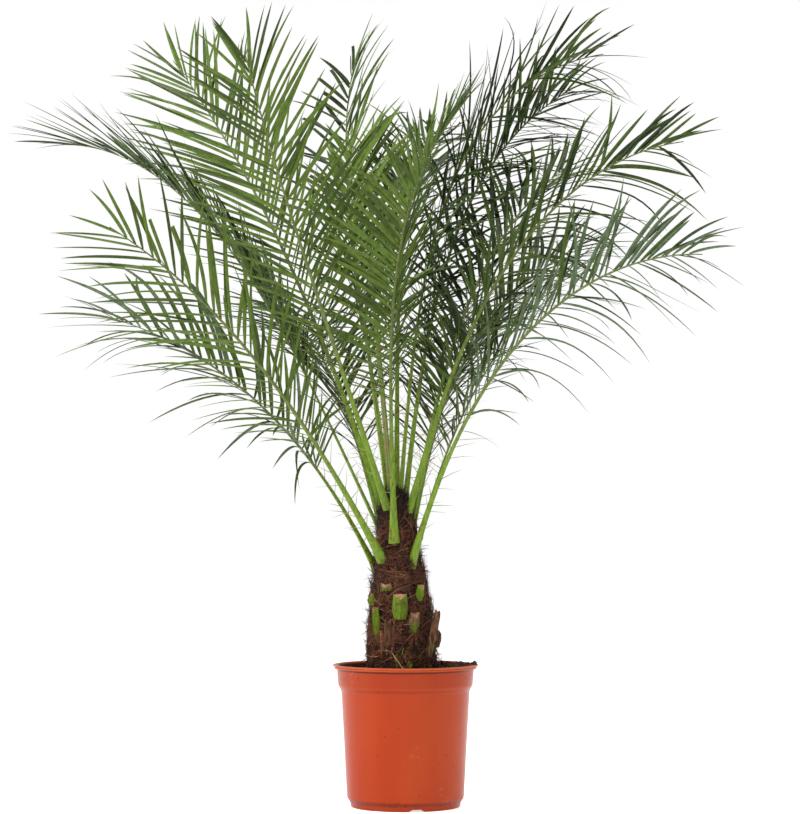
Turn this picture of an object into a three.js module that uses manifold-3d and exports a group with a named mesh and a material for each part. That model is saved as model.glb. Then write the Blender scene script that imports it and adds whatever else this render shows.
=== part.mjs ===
// A pygmy date palm standing in a plastic nursery pot filled with soil.
// Millimetres, +Z up. The origin is the centre of the pot's underside and the front faces -Y.
import * as THREE from 'three';
import { mergeVertices } from 'three/addons/utils/BufferGeometryUtils.js';
import Module from 'manifold-3d';

const wasm = await Module();
wasm.setup();

// Clearance between neighbouring pieces, and between one leaflet and the next
const GAP = 0.3;
const LEAF_GAP = 0.8;

// Pot: a thin thermoformed wall with a collar and a rolled lip, on a ring foot
const POT_SIDES = 40;
const POT_HEIGHT = 234;
const LIP_RADIUS = 120;
const LIP_HEIGHT = 7;
const LIP_ROUND = 1.5;
const COLLAR_TOP_RADIUS = 113;
const COLLAR_FOOT_RADIUS = 111;
const COLLAR_FOOT_HEIGHT = 199;
const BODY_TOP_RADIUS = 106;
const BODY_TOP_HEIGHT = 192;
const BODY_FOOT_RADIUS = 96.4;
const BODY_FOOT_HEIGHT = 15;
const FOOT_RADIUS = 90;
const FOOT_TOP_RADIUS = 91;
const FOOT_HEIGHT = 8;
const FOOT_WIDTH = 4;
const FOOT_DRAFT = 2;
const WALL = 2;
const FLOOR = 3;
const FLOOR_RAISE = 5;
const PAD_RADIUS = 60;
const PAD_SLOPE = 4;

// Drain holes through the raised floor, and the arched notches in the ring foot
const DRAIN_COUNT = 8;
const DRAIN_RADIUS = 6;
const DRAIN_SIDES = 10;
const DRAIN_CIRCLE = 74;
const NOTCH_COUNT = 3;
const NOTCH_ANGLE = 281.6;
const NOTCH_WIDTH = 24;
const NOTCH_HEIGHT = 6.5;
const NOTCH_SIDES = 20;

// Soil: fills the pot to a little under the lip and rises to the trunk
const SOIL_EDGE_HEIGHT = 214;
const SOIL_TOP = 222;
const SOIL_SEAT_RADIUS = 70;

// Trunk: height and radius up its length, from the root flare to the growing tip
const TRUNK_SIDES = 24;
const TRUNK_RINGS = [[SOIL_TOP + GAP, 64], [232, 61.5], [250, 59.5], [305, 57], [355, 49.5], [388, 44],
  [415, 39], [450, 34], [482, 29.5], [503, 25], [517, 19], [526, 10]];
const TRUNK_TIP = 529;
const TRUNK_FOOT_X = -4;
const TRUNK_LEAN = 0.045;

// Cut leaf bases left on the trunk: azimuth, height of the foot, width, length, lean outward
const STUB_THICKNESS = 13;
const STUB_SINK = 4.5;
const STUB_SIZES = [[0, 1], [0.45, 0.94], [1, 0.72]];
const STUB_CUT = 0.35;
const STUB_SHAPE = [[-0.5, 0], [-0.32, 0.5], [0.32, 0.5], [0.5, 0], [0.32, -0.5], [-0.32, -0.5]];
const STUBS = [[269, 310, 27, 42, 8], [224, 272, 15, 58, 6], [242, 356, 23, 13, 12], [312, 340, 17, 27, 12],
  [203, 332, 11, 20, 4], [293, 288, 20, 34, 9], [318, 248, 12, 80, 17], [350, 262, 15, 32, 8],
  [246, 268, 15, 42, 4], [38, 300, 22, 44, 8], [62, 256, 18, 40, 8], [96, 312, 24, 40, 8],
  [122, 262, 18, 52, 7], [140, 306, 20, 42, 6], [152, 252, 17, 40, 6]];

// Fronds: azimuth, height and distance of the foot from the trunk's axis, lean at the foot and at the
// tip, length, turn of the azimuth along the length, how late it bends, roll of the blade, share of the
// usual fan that its leaflets stand at, share of their usual length, and how limp they hang
const FRONDS = {
  frond_01: [139, 480, 25, 24, 45.5, 965, -4, 1.5, -55, 0.92, 1.10, 0.16],
  frond_02: [238, 490, 26, 31, 42.5, 850, 18, 1.5, 28, 1.10, 0.95, 0.14],
  frond_03: [118, 501, 20, 16.5, 38.5, 890, -46, 1.5, -40, 0.95, 1.00, 0.26],
  frond_04: [155, 450, 28, 27.5, 90, 985, -6, 2.8, 12, 0.48, 1.20, 0.12],
  frond_05: [225, 404, 34, 37, 67, 785, 0, 1.6, 55, 0.95, 0.90, 0.20],
  frond_06: [185, 388, 35, 27, 76, 640, 0, 1.4, -40, 0.95, 0.98, 0.44],
  frond_07: [62, 508, 19, 9.5, 79.5, 985, -44, 2.1, 92, 0.80, 0.98, 0.34],
  frond_08: [325, 485, 26, 19, 88, 828, 0, 1.95, -88, 0.80, 0.80, 0.28],
  frond_09: [312, 395, 31, 23, 95, 848, 4, 1.4, -80, 0.90, 0.85, 0.36],
  frond_10: [350, 412, 28, 15, 54, 560, 0, 1.6, 25, 0.90, 0.75, 0.42],
  frond_11: [262, 435, 36, 10.5, 47, 775, 66, 1.5, 34, 1.06, 0.84, 0.16],
  frond_12: [62, 475, 27, 12.5, 62.5, 925, -35, 1.7, 65, 0.80, 0.98, 0.40],
  frond_13: [42, 448, 32, 13, 59, 760, -8, 1.8, 30, 0.90, 0.90, 0.42],
  frond_14: [150, 515, 14, 8, 26.5, 640, -88, 1.5, 0, 0.90, 1.00, 0.20],
  frond_15: [12, 475, 26, 12, 66, 580, 0, 1.5, 34, 0.90, 0.88, 0.42],
  frond_16: [90, 452, 33, 13, 72, 925, -20, 1.8, 10, 0.90, 0.95, 0.40],
  frond_17: [112, 400, 41, 32.5, 78.5, 740, 0, 1.5, 0, 0.90, 1.00, 0.36],
  frond_18: [70, 400, 41, 28.5, 76.5, 680, 0, 1.5, 0, 0.90, 1.00, 0.36],
};
const SPEAR = [222, 514, 9, 6, 10, 430, 0, 1.5, 0];

// Rib of a frond: width and thickness by the share of its length from foot to tip
const RIB_WIDTHS = [[0, 13], [0.1, 11], [0.28, 8], [0.6, 5.5], [1, 2.2]];
const RIB_HEIGHTS = [[0, 9], [0.1, 7.5], [0.28, 6], [0.6, 4.2], [1, 2]];
const SPEAR_WIDTHS = [[0, 11], [0.5, 9], [1, 2.4]];
const PATH_STEPS = 240;
const STALK_SHARE = 0.3;
const STALK_STATIONS = 6;
const SPEAR_STATIONS = [0, 0.25, 0.5, 0.75, 1];

// Leaflets: how many on a frond, dealt to the two sides in turn, and how each one stands
const LEAFLETS = 28;
const BLADE_END = 0.975;
const LEAFLET_LENGTHS = [[0, 115], [0.12, 170], [0.4, 208], [0.7, 195], [0.88, 158], [1, 110]];
const LEAFLET_FANS = [[0, 62], [0.3, 50], [0.7, 43], [0.9, 32], [1, 12]];
const LEAFLET_LIFTS = [[0, 42], [0.5, 24], [1, 10]];
const LEAFLET_STIFFENING = 0.6;
const LEAFLET_MIDDLE = 0.5;
const LEAFLET_WIDTH = 12;
const LEAFLET_THICKNESS = 2.2;
const LEAFLET_TRIES = [0, 9, -9, 18, -18];

// Colours as they show in daylight
const POT_COLOUR = 0xc64e2c;
const SOIL_COLOUR = 0x33241a;
const TRUNK_COLOUR = 0x4b2d23;
const STUB_COLOUR = 0x7f9a45;
const FROND_COLOUR = 0x557a38;
const SPEAR_COLOUR = 0x86763f;

const RADIAN = Math.PI / 180;
const UP = new THREE.Vector3(0, 0, 1);

const group = new THREE.Group();
group.name = 'pygmy_date_palm';

function material(color, roughness) {
  return new THREE.MeshStandardMaterial({ color, roughness, metalness: 0 });
}

function addPiece(name, geometry, colour, roughness) {
  const mesh = new THREE.Mesh(geometry, material(colour, roughness));
  mesh.name = name;
  group.add(mesh);
}

// Value at x on a line drawn through the points of a table
function along(table, x) {
  let i = 1;
  while (i < table.length - 1 && x > table[i][0]) {
    i += 1;
  }
  const [x0, y0] = table[i - 1];
  const [x1, y1] = table[i];
  return y0 + (y1 - y0) * THREE.MathUtils.clamp((x - x0) / (x1 - x0), 0, 1);
}

function toSolid(geometry) {
  const bare = geometry.clone();
  bare.deleteAttribute('normal');
  bare.deleteAttribute('uv');
  const welded = mergeVertices(bare, 1e-3);
  const vertProperties = new Float32Array(welded.attributes.position.array);
  const triVerts = new Uint32Array(welded.index.array);
  return new wasm.Manifold(new wasm.Mesh({ numProp: 3, vertProperties, triVerts }));
}

function toGeometry(solid) {
  const mesh = solid.getMesh();
  const geometry = new THREE.BufferGeometry();
  geometry.setAttribute('position', new THREE.BufferAttribute(new Float32Array(mesh.vertProperties), 3));
  geometry.setIndex(new THREE.BufferAttribute(new Uint32Array(mesh.triVerts), 1));
  return geometry;
}

// The largest single body of a solid that a cut may have left in pieces
function largestBody(solid) {
  const bodies = solid.decompose();
  bodies.sort((a, b) => b.volume() - a.volume());
  return bodies[0];
}

// Closed mesh from points and faces, turned so that its faces look outward
function closedGeometry(points, faces) {
  let volume = 0;
  for (const [a, b, c] of faces) {
    volume += points[a].dot(new THREE.Vector3().crossVectors(points[b], points[c]));
  }
  const index = faces.flatMap(([a, b, c]) => (volume > 0 ? [a, b, c] : [a, c, b]));
  const geometry = new THREE.BufferGeometry();
  const flat = new Float32Array(points.flatMap((p) => [p.x, p.y, p.z]));
  geometry.setAttribute('position', new THREE.BufferAttribute(flat, 3));
  geometry.setIndex(index);
  return geometry;
}

// Solid of revolution about +Z from radius and height pairs
function turned(profile, sides) {
  const points = profile.map(([radius, height]) => new THREE.Vector2(radius, height));
  const geometry = new THREE.LatheGeometry(points, sides);
  geometry.rotateX(Math.PI / 2);
  return geometry;
}

// Pot
const floorTop = FLOOR_RAISE + FLOOR;
const potOutside = [[0, 0], [PAD_RADIUS, 0], [PAD_RADIUS + PAD_SLOPE, FLOOR_RAISE],
  [FOOT_RADIUS - FOOT_WIDTH - FOOT_DRAFT, FLOOR_RAISE], [FOOT_RADIUS - FOOT_WIDTH, 0], [FOOT_RADIUS, 0],
  [FOOT_TOP_RADIUS, FOOT_HEIGHT], [BODY_FOOT_RADIUS, BODY_FOOT_HEIGHT], [BODY_TOP_RADIUS, BODY_TOP_HEIGHT],
  [COLLAR_FOOT_RADIUS, COLLAR_FOOT_HEIGHT], [COLLAR_TOP_RADIUS, POT_HEIGHT - LIP_HEIGHT],
  [LIP_RADIUS - LIP_ROUND, POT_HEIGHT - LIP_HEIGHT], [LIP_RADIUS, POT_HEIGHT - LIP_HEIGHT / 2],
  [LIP_RADIUS - LIP_ROUND, POT_HEIGHT]];
const potInside = [[COLLAR_TOP_RADIUS, POT_HEIGHT], [COLLAR_TOP_RADIUS - WALL, POT_HEIGHT - LIP_HEIGHT],
  [COLLAR_FOOT_RADIUS - WALL, COLLAR_FOOT_HEIGHT], [BODY_TOP_RADIUS - WALL, BODY_TOP_HEIGHT],
  [BODY_FOOT_RADIUS - WALL, BODY_FOOT_HEIGHT], [FOOT_RADIUS - WALL, floorTop],
  [PAD_RADIUS + PAD_SLOPE, floorTop], [PAD_RADIUS, FLOOR], [0, FLOOR]];
let pot = toSolid(turned([...potOutside, ...potInside], POT_SIDES));
for (let i = 0; i < DRAIN_COUNT; i += 1) {
  const angle = (i / DRAIN_COUNT) * 2 * Math.PI;
  const hole = new THREE.CylinderGeometry(DRAIN_RADIUS, DRAIN_RADIUS, 4 * FLOOR, DRAIN_SIDES);
  hole.rotateX(Math.PI / 2);
  hole.translate(DRAIN_CIRCLE * Math.cos(angle), DRAIN_CIRCLE * Math.sin(angle), FLOOR_RAISE + FLOOR / 2);
  pot = pot.subtract(toSolid(hole));
}
for (let i = 0; i < NOTCH_COUNT; i += 1) {
  const notch = new THREE.CylinderGeometry(NOTCH_WIDTH / 2, NOTCH_WIDTH / 2, 3 * FOOT_WIDTH, NOTCH_SIDES);
  notch.scale(1, 1, (2 * NOTCH_HEIGHT) / NOTCH_WIDTH);
  notch.translate(0, FOOT_RADIUS - FOOT_WIDTH / 2, 0);
  notch.rotateZ((NOTCH_ANGLE - 90 + (360 * i) / NOTCH_COUNT) * RADIAN);
  pot = pot.subtract(toSolid(notch));
}
addPiece('pot', toGeometry(pot), POT_COLOUR, 0.42);

// Soil
const soilWall = potInside.slice(1, 6).map(([radius, height]) => [radius - GAP, height + GAP]);
const innerWall = [[COLLAR_FOOT_HEIGHT, COLLAR_FOOT_RADIUS], [POT_HEIGHT - LIP_HEIGHT, COLLAR_TOP_RADIUS]];
const soilEdge = along(innerWall, SOIL_EDGE_HEIGHT);
soilWall[0] = [soilEdge - WALL - 2 * GAP, SOIL_EDGE_HEIGHT];
const soilProfile = [[0, FLOOR + GAP], [PAD_RADIUS - GAP, FLOOR + GAP],
  [PAD_RADIUS + PAD_SLOPE - GAP, floorTop + GAP], ...soilWall.reverse(),
  [SOIL_SEAT_RADIUS, SOIL_TOP], [0, SOIL_TOP]];
addPiece('soil', turned(soilProfile, POT_SIDES), SOIL_COLOUR, 0.95);

// Trunk, and the same shape grown by the clearance, which cuts the pieces that stand on it
function trunkAxis(height) {
  return TRUNK_FOOT_X - TRUNK_LEAN * (height - SOIL_TOP);
}

function trunkGeometry(grow) {
  const rings = TRUNK_RINGS.map(([height, radius]) => [radius + grow, height + grow]);
  const foot = TRUNK_RINGS[0][0] - grow;
  rings[0][1] = foot;
  const geometry = turned([[0, foot], ...rings, [0, TRUNK_TIP + grow]], TRUNK_SIDES);
  const at = geometry.attributes.position;
  for (let i = 0; i < at.count; i += 1) {
    at.setX(i, at.getX(i) + trunkAxis(at.getZ(i)));
  }
  return geometry;
}

addPiece('trunk', trunkGeometry(0), TRUNK_COLOUR, 0.95);
const trunkRoom = toSolid(trunkGeometry(GAP));

// Cut leaf bases: flattened six-sided pieces, narrower and slanted where they were cut
function stubGeometry([azimuth, height, width, length, lean]) {
  const outward = new THREE.Vector3(Math.cos(azimuth * RADIAN), Math.sin(azimuth * RADIAN), 0);
  const across = new THREE.Vector3().crossVectors(UP, outward);
  const axis = UP.clone().multiplyScalar(Math.cos(lean * RADIAN));
  axis.addScaledVector(outward, Math.sin(lean * RADIAN));
  const foot = outward.clone().multiplyScalar(along(TRUNK_RINGS, height) - STUB_SINK);
  foot.add(new THREE.Vector3(trunkAxis(height), 0, height));
  const points = [];
  for (const [share, size] of STUB_SIZES) {
    for (const [sideways, out] of STUB_SHAPE) {
      const point = foot.clone().addScaledVector(axis, length * share);
      point.addScaledVector(across, sideways * width * size);
      point.addScaledVector(outward, out * STUB_THICKNESS * size);
      point.addScaledVector(axis, -out * STUB_THICKNESS * STUB_CUT * share);
      points.push(point);
    }
  }
  const sides = STUB_SHAPE.length;
  const faces = [];
  for (let i = 0; i < sides; i += 1) {
    const j = (i + 1) % sides;
    for (const low of [0, sides]) {
      faces.push([low + i, low + j, low + sides + j], [low + i, low + sides + j, low + sides + i]);
    }
  }
  for (let i = 1; i < sides - 1; i += 1) {
    faces.push([0, i + 1, i], [2 * sides, 2 * sides + i, 2 * sides + i + 1]);
  }
  return closedGeometry(points, faces);
}

STUBS.forEach((stub, i) => {
  const solid = largestBody(toSolid(stubGeometry(stub)).subtract(trunkRoom));
  const name = `leaf_base_${String(i + 1).padStart(2, '0')}`;
  addPiece(name, toGeometry(solid), STUB_COLOUR, 0.7);
});

// The line of a rib: points with the directions along it, across the blade and up out of the blade
function ribLine([azimuth, height, distance, lean, tipLean, length, turn, bend, roll]) {
  const start = azimuth * RADIAN;
  const place = new THREE.Vector3(
    trunkAxis(height) + distance * Math.cos(start), distance * Math.sin(start), height);
  const line = [];
  for (let i = 0; i <= PATH_STEPS; i += 1) {
    const share = i / PATH_STEPS;
    const tilt = (lean + (tipLean - lean) * share ** bend) * RADIAN;
    const heading = (azimuth + turn * share * share) * RADIAN;
    const forward = new THREE.Vector3(
      Math.sin(tilt) * Math.cos(heading), Math.sin(tilt) * Math.sin(heading), Math.cos(tilt));
    const side = new THREE.Vector3(-Math.sin(heading), Math.cos(heading), 0);
    side.applyAxisAngle(forward, roll * RADIAN);
    const face = new THREE.Vector3().crossVectors(forward, side);
    line.push({ place: place.clone(), forward, side, face });
    place.addScaledVector(forward, length / PATH_STEPS);
  }
  return line;
}

function stationAt(line, share) {
  return line[Math.round(share * PATH_STEPS)];
}

// The four corners of a rib at one station
function ribCorners(station, width, height) {
  return [[1, 1], [-1, 1], [-1, -1], [1, -1]].map(([across, up]) => station.place.clone()
    .addScaledVector(station.side, (across * width) / 2)
    .addScaledVector(station.face, (up * height) / 2));
}

// Direction of a leaflet that leaves the rib, tilted by some degrees out of its usual stand
function leafletDirection(station, share, hand, fanShare, tilt) {
  const fan = along(LEAFLET_FANS, share) * fanShare * RADIAN;
  const lift = (along(LEAFLET_LIFTS, share) + tilt) * RADIAN;
  return station.forward.clone().multiplyScalar(Math.cos(fan))
    .addScaledVector(station.side, hand * Math.sin(fan) * Math.cos(lift))
    .addScaledVector(station.face, Math.sin(fan) * Math.sin(lift));
}

// Points of a leaflet in the order of the corners of its seat: four at its broadest place and the tip.
// It hangs a little by its own weight, the more the flatter it stands.
function leafletPoints(station, share, hand, { fanShare, lengthShare, limpness }, tilt) {
  const length = along(LEAFLET_LENGTHS, share) * lengthShare;
  const direction = leafletDirection(station, share, hand, fanShare, tilt);
  const level = Math.hypot(direction.x, direction.y);
  const hang = limpness * (1 - LEAFLET_STIFFENING * share) * level * length;
  const breadth = station.forward.clone().addScaledVector(direction, -direction.dot(station.forward));
  breadth.normalize();
  const normal = new THREE.Vector3().crossVectors(breadth, direction).multiplyScalar(hand);
  const reach = (far) => station.place.clone()
    .addScaledVector(direction, length * far)
    .addScaledVector(UP, -hang * far * far);
  const ring = [[-1, -hand], [1, -hand], [1, hand], [-1, hand]].map(([ahead, over]) => reach(LEAFLET_MIDDLE)
    .addScaledVector(breadth, (ahead * LEAFLET_WIDTH) / 2)
    .addScaledVector(normal, (over * LEAFLET_THICKNESS) / 2));
  return [...ring, reach(1)];
}

// Faces of a leaflet that grows out of the four points of its seat
function leafletFaces(seat, first) {
  const tip = first + 4;
  const faces = [];
  for (let i = 0; i < 4; i += 1) {
    const j = (i + 1) % 4;
    faces.push([seat[i], seat[j], first + j], [seat[i], first + j, first + i], [first + i, first + j, tip]);
  }
  return faces;
}

// All corners of a rib, four to a station
function ribPoints(line, shares, widths) {
  return shares.flatMap((share) => ribCorners(
    stationAt(line, share), along(widths, share), along(RIB_HEIGHTS, share)));
}

// The corners of the side face of a rib between one station and the next
function seatOf(interval, side) {
  const low = 4 * interval;
  const next = (side + 1) % 4;
  return [low + side, low + 4 + side, low + 4 + next, low + next];
}

// A closed frond; leaflets stand on the side faces that are given for them
function frondSolid(line, shares, widths, leaflets) {
  const points = ribPoints(line, shares, widths);
  const last = points.length - 4;
  const faces = [[0, 1, 2], [0, 2, 3], [last, last + 2, last + 1], [last, last + 3, last + 2]];
  for (let interval = 0; interval < shares.length - 1; interval += 1) {
    for (let side = 0; side < 4; side += 1) {
      const seat = seatOf(interval, side);
      const leaflet = leaflets.find((item) => item.interval === interval && item.side === side);
      if (leaflet) {
        faces.push(...leafletFaces(seat, points.length));
        points.push(...leaflet.points);
      } else {
        faces.push([seat[0], seat[1], seat[2]], [seat[0], seat[2], seat[3]]);
      }
    }
  }
  return toSolid(closedGeometry(points, faces));
}

// One leaflet alone, closed at its seat
function leafletSolid(corners, points) {
  const faces = [[0, 2, 1], [0, 3, 2], ...leafletFaces([0, 1, 2, 3], 4)];
  return toSolid(closedGeometry([...corners, ...points], faces));
}

function boxOf(solid) {
  const { min, max } = solid.boundingBox();
  return new THREE.Box3(new THREE.Vector3(...min), new THREE.Vector3(...max)).expandByScalar(LEAF_GAP);
}

// Stations of every frond: a bare stalk, then one interval for each leaflet, then the point
const frondShares = [];
for (let i = 0; i < STALK_STATIONS; i += 1) {
  frondShares.push((STALK_SHARE * i) / STALK_STATIONS);
}
for (let i = 0; i <= LEAFLETS; i += 1) {
  frondShares.push(STALK_SHARE + ((BLADE_END - STALK_SHARE) * i) / LEAFLETS);
}
frondShares.push(1);

// Ribs come first, so that a leaflet of one frond keeps clear of every other frond's rib
const RIGHT_SIDE = 3;
const LEFT_SIDE = 1;
const taken = [];
const fronds = Object.entries(FRONDS).map(([name, shape]) => {
  const line = ribLine(shape);
  const rib = largestBody(frondSolid(line, frondShares, RIB_WIDTHS, []).subtract(trunkRoom));
  taken.push({ name, rib: true, solid: rib, box: boxOf(rib) });
  const [fanShare, lengthShare, limpness] = shape.slice(-3);
  return { name, line, stand: { fanShare, lengthShare, limpness } };
});

function isClear(solid, box, name) {
  return taken.every((other) => (other.rib && other.name === name)
    || !box.intersectsBox(other.box)
    || solid.minGap(other.solid, LEAF_GAP) >= LEAF_GAP);
}

// Leaflets in turn right and left; one that would touch another piece is tilted, or else left out
for (const { name, line, stand } of fronds) {
  const corners = ribPoints(line, frondShares, RIB_WIDTHS);
  const leaflets = [];
  for (let i = 0; i < LEAFLETS; i += 1) {
    const interval = STALK_STATIONS + i;
    const hand = i % 2 === 0 ? 1 : -1;
    const side = hand > 0 ? RIGHT_SIDE : LEFT_SIDE;
    const seat = seatOf(interval, side).map((corner) => corners[corner]);
    const station = stationAt(line, (frondShares[interval] + frondShares[interval + 1]) / 2);
    for (const tilt of LEAFLET_TRIES) {
      const points = leafletPoints(station, i / (LEAFLETS - 1), hand, stand, tilt);
      const solid = leafletSolid(seat, points);
      const box = boxOf(solid);
      if (isClear(solid, box, name)) {
        taken.push({ name, rib: false, solid, box });
        leaflets.push({ interval, side, points });
        break;
      }
    }
  }
  const frond = largestBody(frondSolid(line, frondShares, RIB_WIDTHS, leaflets).subtract(trunkRoom));
  addPiece(name, toGeometry(frond), FROND_COLOUR, 0.55);
}

// The newest leaf, still closed into a spear
const spear = frondSolid(ribLine(SPEAR), SPEAR_STATIONS, SPEAR_WIDTHS, []);
addPiece('spear_leaf', toGeometry(largestBody(spear.subtract(trunkRoom))), SPEAR_COLOUR, 0.7);

export default group;
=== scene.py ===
# The looks of a pygmy date palm in a plastic nursery pot.
# Metres, +Z up. The origin is the centre of the pot's underside and the front faces -Y.
import math
import random
from typing import NamedTuple

import bpy
import numpy as np
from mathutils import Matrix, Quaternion, Vector, noise


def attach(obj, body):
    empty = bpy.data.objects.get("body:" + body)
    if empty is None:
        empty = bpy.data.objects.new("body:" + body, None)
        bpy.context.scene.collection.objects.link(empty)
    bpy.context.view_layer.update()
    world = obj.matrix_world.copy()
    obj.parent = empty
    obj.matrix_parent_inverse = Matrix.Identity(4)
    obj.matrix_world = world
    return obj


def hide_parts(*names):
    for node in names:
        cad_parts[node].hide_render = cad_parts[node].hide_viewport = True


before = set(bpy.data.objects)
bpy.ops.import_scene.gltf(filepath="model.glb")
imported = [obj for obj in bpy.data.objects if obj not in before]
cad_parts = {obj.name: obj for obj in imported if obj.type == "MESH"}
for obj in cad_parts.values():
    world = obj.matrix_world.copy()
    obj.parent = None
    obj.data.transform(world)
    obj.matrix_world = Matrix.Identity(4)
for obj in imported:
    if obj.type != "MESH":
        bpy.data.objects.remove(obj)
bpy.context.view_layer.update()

# Pot: a nursery pot of orange plastic, drawn thin over one mould. It has a rolled lip, a collar that
# keeps stacked pots apart, drain holes in a raised floor, and a ring foot with three arched notches.
MM = 0.001
FULL_TURN = 2 * math.pi
POT_SIDES = 180
POT_CREASE = 38
POT_HEIGHT = 234 * MM
LIP_RADIUS = 120 * MM
LIP_HEIGHT = 7 * MM
COLLAR_TOP_RADIUS = 113 * MM
COLLAR_FOOT_RADIUS = 111 * MM
COLLAR_FOOT_HEIGHT = 199 * MM
BODY_TOP_RADIUS = 106 * MM
BODY_TOP_HEIGHT = 192 * MM
BODY_FOOT_RADIUS = 96.4 * MM
BODY_FOOT_HEIGHT = 15 * MM
FOOT_RADIUS = 90 * MM
FOOT_TOP_RADIUS = 91 * MM
FOOT_HEIGHT = 8 * MM
FOOT_WIDTH = 4 * MM
FOOT_DRAFT = 2 * MM
WALL = 2 * MM
FLOOR = 3 * MM
FLOOR_RAISE = 5 * MM
PAD_RADIUS = 60 * MM
PAD_SLOPE = 4 * MM
POT_EDGE_ROUND = 3.2 * MM
LIP_STEP = 2.4 * MM
LIP_BEAD_HEIGHT = 3.2 * MM
LIP_GROOVE = 1.2 * MM
DRAIN_COUNT = 8
DRAIN_RADIUS = 6 * MM
DRAIN_SIDES = 24
DRAIN_CIRCLE = 74 * MM
NOTCH_COUNT = 3
NOTCH_ANGLE = math.radians(281.6)
NOTCH_WIDTH = 28 * MM
NOTCH_HEIGHT = 6.5 * MM
NOTCH_FLARE = 1.5


def softened(corners, radius, steps=4, edge_share=0.45):
    """The corners of a profile, each but the end ones rounded off by a small curve."""
    points = [corners[0]]
    for before, corner, after in zip(corners, corners[1:], corners[2:]):
        corner = Vector(corner)
        arms = [Vector(end) - corner for end in (before, after)]
        back, ahead = [arm.normalized() * min(radius, edge_share * arm.length) for arm in arms]
        for step in range(steps + 1):
            share = step / steps
            points.append(corner + back * (1 - share) ** 2 + ahead * share ** 2)
    points.append(corners[-1])
    return [tuple(point) for point in points]


def turned(profile, sides):
    """Points and faces of a body turned about the upright axis; its profile starts and ends there."""
    rings = profile[1:-1]
    turns = [FULL_TURN * i / sides for i in range(sides)]
    points = [(radius * math.cos(turn), radius * math.sin(turn), height)
              for radius, height in rings for turn in turns]
    foot = len(points)
    points += [(0, 0, profile[0][1]), (0, 0, profile[-1][1])]
    faces = []
    for i in range(sides):
        j = (i + 1) % sides
        for low in range(0, foot - sides, sides):
            faces.append((low + i, low + j, low + sides + j, low + sides + i))
        faces.append((j, i, foot))
        faces.append((foot - sides + i, foot - sides + j, foot + 1))
    return points, faces


def new_piece(name, points, faces=(), edges=()):
    mesh = bpy.data.meshes.new(name)
    mesh.from_pydata([tuple(point) for point in points], edges, faces)
    piece = bpy.data.objects.new(name, mesh)
    bpy.context.collection.objects.link(piece)
    return piece


def smooth(mesh, crease):
    """Soft shading, broken where two faces meet at more than the crease angle in degrees."""
    mesh.shade_smooth()
    mesh.set_sharp_from_angle(angle=math.radians(crease))


def settle(piece, crease):
    """Works the modifiers of a piece into its mesh and takes them off."""
    graph = bpy.context.evaluated_depsgraph_get()
    mesh = bpy.data.meshes.new_from_object(
        piece.evaluated_get(graph), preserve_all_data_layers=True, depsgraph=graph)
    old = piece.data
    piece.modifiers.clear()
    piece.data = mesh
    mesh.name = piece.name
    bpy.data.meshes.remove(old)
    smooth(mesh, crease)


def seat_on_root(piece, slot, *nodes):
    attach(piece, "root")
    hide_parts(*nodes)


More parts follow.
